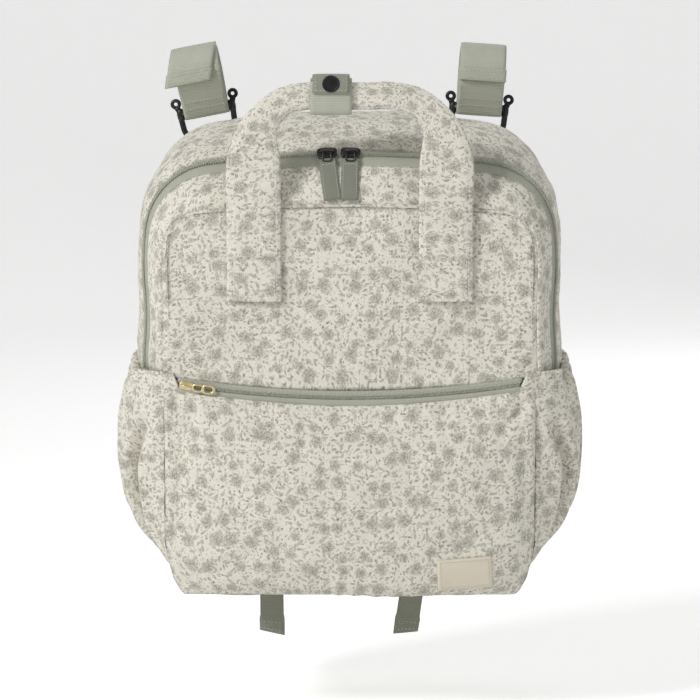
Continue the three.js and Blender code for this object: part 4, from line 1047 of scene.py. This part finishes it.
for side, sign in (("right", 1), ("left", -1)):
    name, mirror = f"side_pocket_{side}", np.array([sign, 1, 1])
    uneven = 0.5 * waves(side_base, 34, 97) * swell if sign < 0 else 0
    outer = side_base + outward * (side_lift + uneven)[..., None]
    inner = outer - outward * 2.2
    points, faces, uvs = panel_part(outer * mirror, inner * mirror, uv_start=(100 + 20 * sign, 0))
    run = np.cumsum(np.linalg.norm(np.diff(outer, axis=0, prepend=outer[:1]), axis=2), 0)
    uvs[:, 0] += np.tile(((run - run.mean(1, keepdims=True)) * CM).ravel(), 2)
    piece(f"{name}_cover", [(points, faces, uvs)], PRINT, "bag", (name, f"side_pocket_elastic_{side}"))
    seams = [(outer[2:-2, k] * mirror, outward[2:-2, k] * mirror, 0.2, 2.4, 3.4, 0.4) for k in (56, 58)]
    sew(f"{name}_stitching", seams, THREAD, "bag")
    hem_line = (outer[1:-1, -1] + inner[1:-1, -1]) / 2 * mirror
    piece(f"{name}_hem", [tube_part(hem_line, 1.7, 9)], PRINT, "bag")


# ---------------------------------------------------------------- handles
def handle(name, pivot, leg, width, depths, uv_start, bend, facing, seed):
    """A flat stuffed strap whose legs narrow into the grip; facing is -1 towards the front."""
    top, grip = pivot + 141, pivot + 128.5
    right = np.array([[leg, pivot - 35], [leg, pivot - 17.5], [leg, pivot], [leg, pivot + 40],
                      [leg, top - 62], [leg - 5, top - 36], [leg - 22, top - 17.5],
                      [leg - 44, grip + 0.3], [leg - 62, grip], [0, grip]])
    path = spline(np.vstack([right, (right[:-1] * [-1, 1])[::-1]]), 16)
    ahead, height = tangents(path), path[:, 1] - pivot
    narrow, sewn = smoothstep(70, 128, height), smoothstep(2, -3, height)
    v = np.linspace(-1, 1, 25)
    half = (width * (1 - narrow) + 22.0 * narrow) / 2
    flat = spread(path, np.stack([ahead[:, 1], -ahead[:, 0]], 1), half, v)
    thick = 2.4 + 0.5 * narrow - 0.5 * sewn
    thick *= 1 - 0.80 * sum(np.exp(-(((height - at) / 1.7) ** 2)) for at in (-1.5, -31))
    section = np.sqrt(1 - np.abs(v) ** 6) * (1 - 0.42 * np.exp(-((np.abs(v) - 0.84) / 0.05) ** 2))
    body = np.multiply.outer(thick, section)
    middle = (depths[0] * sewn + depths[1] * (1 - sewn))[:, None]
    soft = 0.45 * waves(np.insert(flat, 1, 0, axis=2), 45, seed)
    soft *= np.multiply.outer(0.4 + 0.6 * (1 - sewn), 1 - np.abs(v) ** 4)
    face = np.insert(flat, 1, middle + facing * (body + soft + 0.1), axis=2)
    under = middle - facing * (body * (1 - 0.6 * sewn[:, None]) - soft + 0.1)
    piece(f"{name}_cover", [panel_part(face, np.insert(flat, 1, under, axis=2), uv_start=(uv_start, 0))],
          PRINT, bend, (name, f"{name}_end_left", f"{name}_end_right"))
    normals = grid_normals(face) * facing
    seams = [(face[1:-1, k], normals[1:-1, k], 0.12, *TOP_STITCH) for k in (2, 22)]
    # a box of stitches at each sewn end
    low = np.where((height > -34) & (height < -1.5))[0]
    first, last = low[low < len(path) // 2], low[low > len(path) // 2]
    for rows, foot, head in ((first, first[0] + 1, first[-1]), (last, last[-1] - 1, last[0])):
        box = (face[rows, 3], face[rows, 21], face[foot, 3:22], face[head, 3:22])
        seams += [(line, REAR * facing, 0.2, 2.3, 3.2, 0.42) for line in box]
    sew(f"{name}_stitching", seams, THREAD, bend)


handle("front_handle", 274, 76.5, 43.5, (-65.2, -67.0), 120,
       ("front_flap", "front_handle", (0, -0.067, 0.264), (0, -0.067, 0.290)), -1, 101)
handle("back_handle", 245, 67, 38, (82.4, 84.0), 150,
       ("bag", "back_handle", (0, 0.084, 0.236), (0, 0.084, 0.260)), 1, 103)

# the wrap round the front handle's grip: a lower band, and a leaf with a snap
WRAP_X = -15
wrap_path = spline([[-72.4, 411.5], [-72.9, 402], [-72.6, 393], [-70.6, 389.4], [-67, 388.6], [-63.2, 389.6],
                    [-61.6, 394], [-61.6, 406], [-61.9, 413], [-64, 416.0], [-68, 416.3], [-70.4, 415.6]], 6)
leaf_path = spline([[-61.8, 418.6], [-66, 419.2], [-70, 419.0], [-73.2, 417.6], [-74.9, 414.4],
                    [-75.4, 409.4], [-75.3, 405.2]], 6)
SNAP_PROFILE = ((6.4, 0), (6.9, 0.3), (6.9, 0.9), (6.2, 1.7), (5.4, 1.9), (5.1, 1.6), (4.4, 1.5),
                (3.0, 2.1), (1.4, 2.4), (0.4, 2.45))
wrap = band_sheets(wrap_path, WRAP_X, 33, 1.8, bulge=0.25)
piece("handle_wrap_cover", [panel_part(*wrap)], SAGE, "front_handle")
leaf = band_sheets(leaf_path, WRAP_X, 29.5, 1.9, bulge=0.2)
piece("wrap_leaf_cover", [panel_part(*leaf)], SAGE_SHADED, "wrap_leaf")
piece("snap_cap_cover", [disc_part((WRAP_X, -75.6, 412.4), SNAP_PROFILE)], BLACK, "wrap_leaf")
leaf_lines = (leaf[0][6:-2, 1], leaf[0][6:-2, 11], leaf[0][-4, 1:12])
seams = [(line, FRONT, 0.2, 1.9, 2.7, 0.3) for line in leaf_lines]
sew("wrap_leaf_stitching", seams, SAGE_THREAD, "wrap_leaf")

# ---------------------------------------------------------------- hanging hardware
RING_Y, RING_Z, RING_LOW = 91.5, 350.5, 328.5
HOOK_Y, PIN_Z, BOSS_Z, LEG = 98.0, 387.7, 396.6, 22.0
BAR_Z, BAR_R, STRAP_T = 417.2, 20.0, 2.6
CLOSURE_R = BAR_R + STRAP_T + 1.6
tab_path = spline([[80.9, 304], [80.9, 312], [80.8, 319], [80.4, 326], [81.6, 331.6], [84.8, 333.2],
                   [88.2, 331.2], [88.9, 327.4], [87.6, 323], [84.2, 319], [83.2, 312], [83.2, 306.5]], 6)
TAB_BOX = [(-7, 308), (7, 308), (7, 317), (-7, 317), (-7, 308), (7, 317)]
D_OUTLINE = [(0, 0), (11, 0), (16, 6), (14, 15), (7, 21), (0, 22), (-7, 21), (-14, 15), (-16, 6), (-11, 0)]
HOOK_LEGS = [(-24, BOSS_Z - 3), (-22, BOSS_Z - 9), (-22, 380), (-20, 370), (-9, 364), (0, 363),
             (9, 364), (20, 370), (22, 380), (22, BOSS_Z - 9), (24, BOSS_Z - 3)]


def hang(points, x, lean):
    """Leans points drawn upright about their ring, and moves them to their side."""
    return swing(points, math.radians(lean), RING_Z) + [x, 0, 0]


def joined(start, end, count):
    """Points strictly between two points."""
    return np.linspace(start, end, count)[1:-1]


def strap_loop():
    """The loop round the handlebar and the hook's pin, in Y and Z, from the front of the bar."""
    big, small = BAR_R + STRAP_T / 2, 3.6 + STRAP_T / 2
    lean = math.asin((big - small) / (BAR_Z - PIN_Z))
    over = arc(HOOK_Y, BAR_Z, big, np.linspace(PI + lean, -lean, 60))
    under = arc(HOOK_Y, PIN_Z, small, np.linspace(-lean, -PI + lean, 22))
    return np.vstack([over, joined(over[-1], under[0], 8), under, joined(under[-1], over[0], 8)])


def hook_parts():
    """A frame round the pin, with its bosses and collars, over a jaw that holds the D ring."""
    pin = np.linspace([-LEG, HOOK_Y, PIN_Z], [LEG, HOOK_Y, PIN_Z], 8)
    parts = [tube_part(spline([(x, HOOK_Y, z) for x, z in HOOK_LEGS], 7), 2.5, 14), tube_part(pin, 3.0, 16)]
    for sign in (-1, 1):
        boss = arc(sign * (LEG + 2.4), BOSS_Z, 3, 2 * PI * np.arange(24) / 24)
        collar = np.linspace([sign * LEG, HOOK_Y, 382], [sign * LEG, HOOK_Y, 392], 5)
        parts += [tube_part(np.insert(boss, 1, HOOK_Y, axis=1), 1.6, closed=True),
                  tube_part(collar, [2.6, 3.1, 3.2, 3.1, 2.6], 14)]
    bend = arc(RING_Y, RING_Z, 6.5, -np.linspace(0, PI, 5))
    jaw = np.vstack([[HOOK_Y, RING_Z + 13], bend, [RING_Y - 6.5, RING_Z + 4]])
    jaw = spline(np.insert(jaw, 0, 0, axis=1), 8)
    neck = np.linspace([0, HOOK_Y, RING_Z + 9], [0, HOOK_Y, RING_Z + 15], 3)
    return parts + [tube_part(jaw, np.linspace(2.8, 1.9, len(jaw)), 14), tube_part(neck, 3.2, 14)]


def closure_sheets(start, end, count, radius, width, thickness, bulge, skew):
    """A layer of the closure over the front of the bar, slanting by skew as it comes down."""
    path = arc(HOOK_Y, BAR_Z, radius, np.linspace(start, end, count))
    drop = (BAR_Z + CLOSURE_R - path[:, 1]) / CLOSURE_R
    return band_sheets(path, 0, width, thickness, 13, bulge, 0.3, skew * drop)


loop = strap_loop()
ridge = 0.35 * np.exp(-(((np.linspace(0, 1, len(loop)) - 0.03) / 0.006) ** 2))
strap_outer, strap_inner = band_sheets(loop, 0, 38, STRAP_T, edge=0.3, closed=True)
strap_outer = strap_outer + unit(strap_outer - strap_inner) * ridge[:, None, None]
strap_length = np.linalg.norm(loop - np.roll(loop, 1, 0), axis=1).sum() * CM
sewn_face = band_sheets(loop, 0, 34, STRAP_T + 0.4, 12, edge=0.0, closed=True)[0]
# the webbing is folded back through the hook and sewn down below the bar
strap_seams = [(sewn_face[k], FRONT, 0, 2.2, 3.0, 0.4) for k in (-5, -3)]
strap_seams += [(sewn_face[np.arange(-6, 3), k], FRONT, 0, 2.2, 3.2, 0.34) for k in (0, 11)]
gate = np.linspace([0, HOOK_Y - 4, RING_Z + 15.5], [0, RING_Y - 6.5, RING_Z + 7], 8)

for side, x, lean, skew in (("left", -114.0, -11.0, -8.0), ("right", 106.0, 4.0, 0.0)):
    place = (x, lean)
    tab = band_sheets(tab_path, x, 18, 1.5, 9)
    piece(f"ring_tab_{side}_cover", [panel_part(*tab)], SAGE, "bag")
    box = np.array([(x + a, 84.4, b) for a, b in TAB_BOX])
    seams = [(box[i:i + 2], REAR, 0, 2.0, 2.8, 0.36) for i in range(5)]
    sew(f"ring_tab_{side}_stitching", seams, SAGE_THREAD, "bag")
    d_path = spline([(x + a, 84.7 + 6.8 * b / 22, RING_LOW + b) for a, b in D_OUTLINE], 8, closed=True)
    piece(f"d_ring_{side}_cover", [tube_part(d_path, 2.0, 14, closed=True)], BLACK, "bag")
    piece(f"stroller_hook_{side}_cover", moved(hook_parts(), hang, *place), BLACK, f"stroller_hook_{side}")
    gate_part = tube_part(gate, [1.5, 1.5, 1.4, 1.4, 1.4, 1.4, 1.5, 1.3], 12)
    piece(f"hook_gate_{side}_cover", moved([gate_part], hang, *place), BLACK, f"hook_gate_{side}")

    name = f"stroller_strap_{side}"
    strap = panel_part(hang(strap_outer, *place), hang(strap_inner, *place), closed=True)
    piece(f"{name}_cover", [strap], SAGE, name, wrap=strap_length)
    sew(f"{name}_stitching", [(hang(seam[0], *place), *seam[1:]) for seam in strap_seams], SAGE_THREAD, name)

    # closure: outer end lying over the front of the loop, its last fold thicker
    name = f"strap_closure_{side}"
    end = math.radians(194)
    layer = closure_sheets(math.radians(90.5), end, 40, CLOSURE_R, 38, 2.2, 0, skew)
    fold = closure_sheets(math.radians(170), end - 0.03, 12, CLOSURE_R + 1.9, 39.5, 1.8, 0.1, skew)
    parts = [panel_part(*layer), panel_part(*fold)]
    piece(f"{name}_cover", moved(parts, hang, *place), SAGE, name)
    seams = [(hang(fold[0][k, 1:-1], *place), FRONT, 0.2, 2.2, 3.0, 0.4) for k in (2, 9)]
    sew(f"{name}_stitching", seams, SAGE_THREAD, name)

# ---------------------------------------------------------------- shoulder straps
strap_path = spline([[24, 90, 342], [24, 97, 300], [24, 97, 235],
                     [38, 96, 180], [56, 96, 135], [65, 95, 108]], 16)
run = lengths(strap_path)
share = run / run[-1]
ahead = tangents(strap_path)
across = unit(np.stack([ahead[:, 2], ahead[:, 0] * 0, -ahead[:, 0]], 1))
outward = -unit(np.cross(across, ahead))
half = 20 * (1 - 0.35 * np.clip((share - 0.75) / 0.25, 0, 1) ** 2)
v = np.linspace(-1, 1, 25)
section = (1 - np.abs(v) ** 5) ** 0.5 * (1 - 0.22 * np.exp(-((np.abs(v) - 0.55) / 0.06) ** 2))
taper = np.clip(np.minimum(share, 1 - share) / 0.05, 0.25, 1) ** 0.7
pad_middle = spread(strap_path - outward * 4.5, across, half, v)
thick = np.multiply.outer(4.4 * taper, section)[..., None]
uneven = 0.35 * waves(pad_middle, 40, 111)[..., None] * (thick > 1)
pad_face = pad_middle + outward[:, None] * (thick + uneven)
pad_under = pad_middle - outward[:, None] * thick

# the webbing that runs from the anchor patch up to the buckle
WEB_V = np.linspace(-1, 1, 9)
WEB_EDGE = 1 - 0.4 * np.abs(WEB_V) ** 6
web_line = spline([(114, 83.6, 19), (112, 85.0, 24), (99, 88.5, 46), (86, 90.0, 70), (76, 92.5, 88)], 8)
web_across = unit(np.cross(tangents(web_line), REAR))
web_out = unit(np.cross(web_across, tangents(web_line)))[:, None] * 0.7 * WEB_EDGE[:, None]
web_middle = spread(web_line, web_across, 10, WEB_V)

# the anchor's patch has four straight sides
i, j = np.indices((12, 12))
low, high = np.linspace([98, 6], [122, 6], 12)[:, None], np.linspace([100, 20], [135, 35], 12)[:, None]
patch = low + (high - low) * np.linspace(0, 1, 12)[:, None]
rim = ease(np.minimum.reduce([i, 11 - i, j, 11 - j]), 1.32, 1)
patch = np.insert(patch, 1, BACK_Y + 1.6 + 1.1 * rim, axis=2)

lock_frame = np.insert(oval(0, 12.4, 8.4, 40, (2 / 7, 2 / 7)), 2, 0, axis=1)
LOCK = [tube_part(lock_frame, 2.0, closed=True),
        box_part((0, -0.2, 0), (24, 3.0, 3.4), bevel=0.3),
        box_part((0, 7.8, 0), (22, 3.6, 3.6), bevel=0.3),
        box_part((0, -8.4, 0.6), (22, 3.0, 4.4), bevel=0.35)]


def seat(points, mirror):
    """Stands the ladder lock up, leans it along the webbing and puts it on its side of the bag."""
    x, y, z = np.moveaxis(points, -1, 0)
    return (swing(np.stack([x, -z, y], -1), math.radians(-28)) + [72, 90.5, 94]) * mirror


for side, sign in (("right", 1), ("left", -1)):
    name, mirror = f"shoulder_strap_{side}", np.array([sign, 1, 1])
    bend = ("bag", name, (sign * 0.024, 0.088, 0.343), (sign * 0.024, 0.092, 0.322))
    outer = pad_face * mirror
    normals = grid_normals(outer) * sign
    pad = panel_part(outer, pad_under * mirror, uv_start=(170, 10 * sign))
    piece(f"{name}_cover", [pad], PRINT_SHADE, bend)
    seams = [(outer[3:-3, k], normals[3:-3, k], 0.15, *TOP_STITCH) for k in (5, 19)]
    sew(f"{name}_stitching", seams, THREAD, bend)
    web, up = outer[12:-2, 9:16], normals[12:-2, 9:16]
    piece(f"shoulder_webbing_{side}", [panel_part(web + up * 1.3, web - up * 0.4)], SAGE, bend)
    seams = [((web + up * 1.3)[2:-1, k], normals[30, 12], 0.2, 2.4, 3.4, 0.36) for k in (1, 5)]
    sew(f"shoulder_webbing_{side}_stitching", seams, SAGE_THREAD, bend)

    piece(f"ladder_lock_{side}_cover", moved(LOCK, seat, mirror), PLASTIC, name)
    anchor = panel_part(patch * mirror, patch * mirror - [0, 2.0, 0])
    piece(f"webbing_anchor_{side}_cover", [anchor], PRINT, "bag")
    web = panel_part((web_middle + web_out) * mirror, (web_middle - web_out) * mirror)
    piece(f"lower_webbing_{side}_cover", [web], SAGE,
          ("bag", name, (sign * 0.106, 0.086, 0.034), (sign * 0.080, 0.091, 0.082)))

# strap tails, each ending in a sewn fold
share = np.linspace(0, 1, 46)
folded = (share > 0.905) * 1.0
for side, x0, x1, slant in (("left", -68.0, -66.5, 2.5), ("right", 68.0, 47.5, -2.5)):
    name = f"strap_tail_{side}"
    line = np.linspace([x0, 96.6, 82.0], [x1, 97.0, -60.0], 46)
    line[:, 1] += 1.5 * np.sin(share * PI * 1.3) * np.sin(share * PI)
    middle = spread(line, unit(np.cross(tangents(line), REAR)), 10 + 0.7 * folded, WEB_V)
    middle[..., 2] -= np.multiply.outer(slant * np.clip((share - 0.9) / 0.1, 0, 1), WEB_V)
    face = middle + FRONT * np.multiply.outer(0.7 + 0.8 * folded, WEB_EDGE)[..., None]
    under = middle + REAR * np.multiply.outer(0.7 + 1.2 * folded, WEB_EDGE)[..., None]
    piece(f"{name}_cover", [panel_part(face, under)], SAGE_SHADED, name)
    seams = [(face[k, 1:-1], FRONT, 0.15, 2.0, 2.8, 0.36) for k in (42, -2)]
    sew(f"{name}_stitching", seams, SAGE_THREAD, name)

# hidden CAD pieces keep their shapes
for name, material in (("back_foam", FOAM), ("base_board", BOARD)):
    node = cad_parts[name]
    node.data.materials.clear()
    node.data.materials.append(material)

# ---------------------------------------------------------------- stage
FLOOR_Z, FLOOR_SIDES = -0.10, 96
STUDIO_CENTRE = (0.0, 0.0, 0.19)


def floor_material():
    """Near-white, with a faint glow that is stronger straight to the camera."""
    n = Nodes("studio_floor")
    grain = n.noise(n.place(), 900.0, dimensions="3D")
    made = n.finish(n.mix(grain, (0.88, 0.88, 0.875), (0.90, 0.90, 0.895)), 0.9)
    n.feed(n.shader.inputs["Emission Color"], (1.0, 1.0, 1.0))
    seen = n.node("LightPath").outputs["Is Camera Ray"]
    n.feed(n.shader.inputs["Emission Strength"], n.mad(seen, 0.34, 0.08))
    return made


# radius and height of the sweep from the floor up to a wall, in metres
profile = spline([(0.001, 0), (1.2, 0), (2.6, 0.0), (3.4, 0.06),
                  (4.2, 0.4), (4.8, 1.1), (5.0, 2.2), (5.0, 3.4)], 6)
turn = 2 * PI * np.arange(FLOOR_SIDES) / FLOOR_SIDES
points = np.vstack([np.column_stack([r * np.cos(turn), r * np.sin(turn), turn * 0 + z + FLOOR_Z])
                    for r, z in profile]) / MM
faces = [face[::-1] for face in loft_faces(len(profile), FLOOR_SIDES, capped=False)]
make_mesh("floor", points, faces, points[:, :2] * CM, floor_material())

world = bpy.data.worlds.new("studio")
bpy.context.scene.world = world
world.use_nodes = True
world.node_tree.nodes["Background"].inputs[0].default_value = (1.0, 1.0, 1.0, 1)
world.node_tree.nodes["Background"].inputs[1].default_value = 0.22


def area_light(name, location, size, power):
    data = bpy.data.lights.new(name, "AREA")
    data.shape = "RECTANGLE"
    data.size, data.size_y = size
    data.energy = power
    made = bpy.data.objects.new(name, data)
    bpy.context.scene.collection.objects.link(made)
    made.location = location
    towards = Vector(STUDIO_CENTRE) - Vector(location)
    made.rotation_euler = towards.to_track_quat("-Z", "Y").to_euler()


area_light("key", (-1.9, -1.6, 1.8), (0.6, 0.6), 47)
area_light("fill", (1.9, -1.9, 0.9), (1.6, 1.2), 7)
area_light("top", (0.1, 0.4, 2.4), (1.4, 1.0), 6)
area_light("back", (1.4, 2.3, 1.3), (1.6, 1.2), 17)

camera_data = bpy.data.cameras.new("camera")
camera_data.lens = 170
camera = bpy.data.objects.new("camera", camera_data)
bpy.context.scene.collection.objects.link(camera)
elevation, distance = math.radians(6), 2.72
target = Vector((0.0, 0.012, 0.192))
camera.location = target + Vector((0, -math.cos(elevation), math.sin(elevation))) * distance
camera.rotation_euler = (target - camera.location).to_track_quat("-Z", "Y").to_euler()
bpy.context.scene.camera = camera
bpy.context.scene.view_settings.view_transform = "Standard"
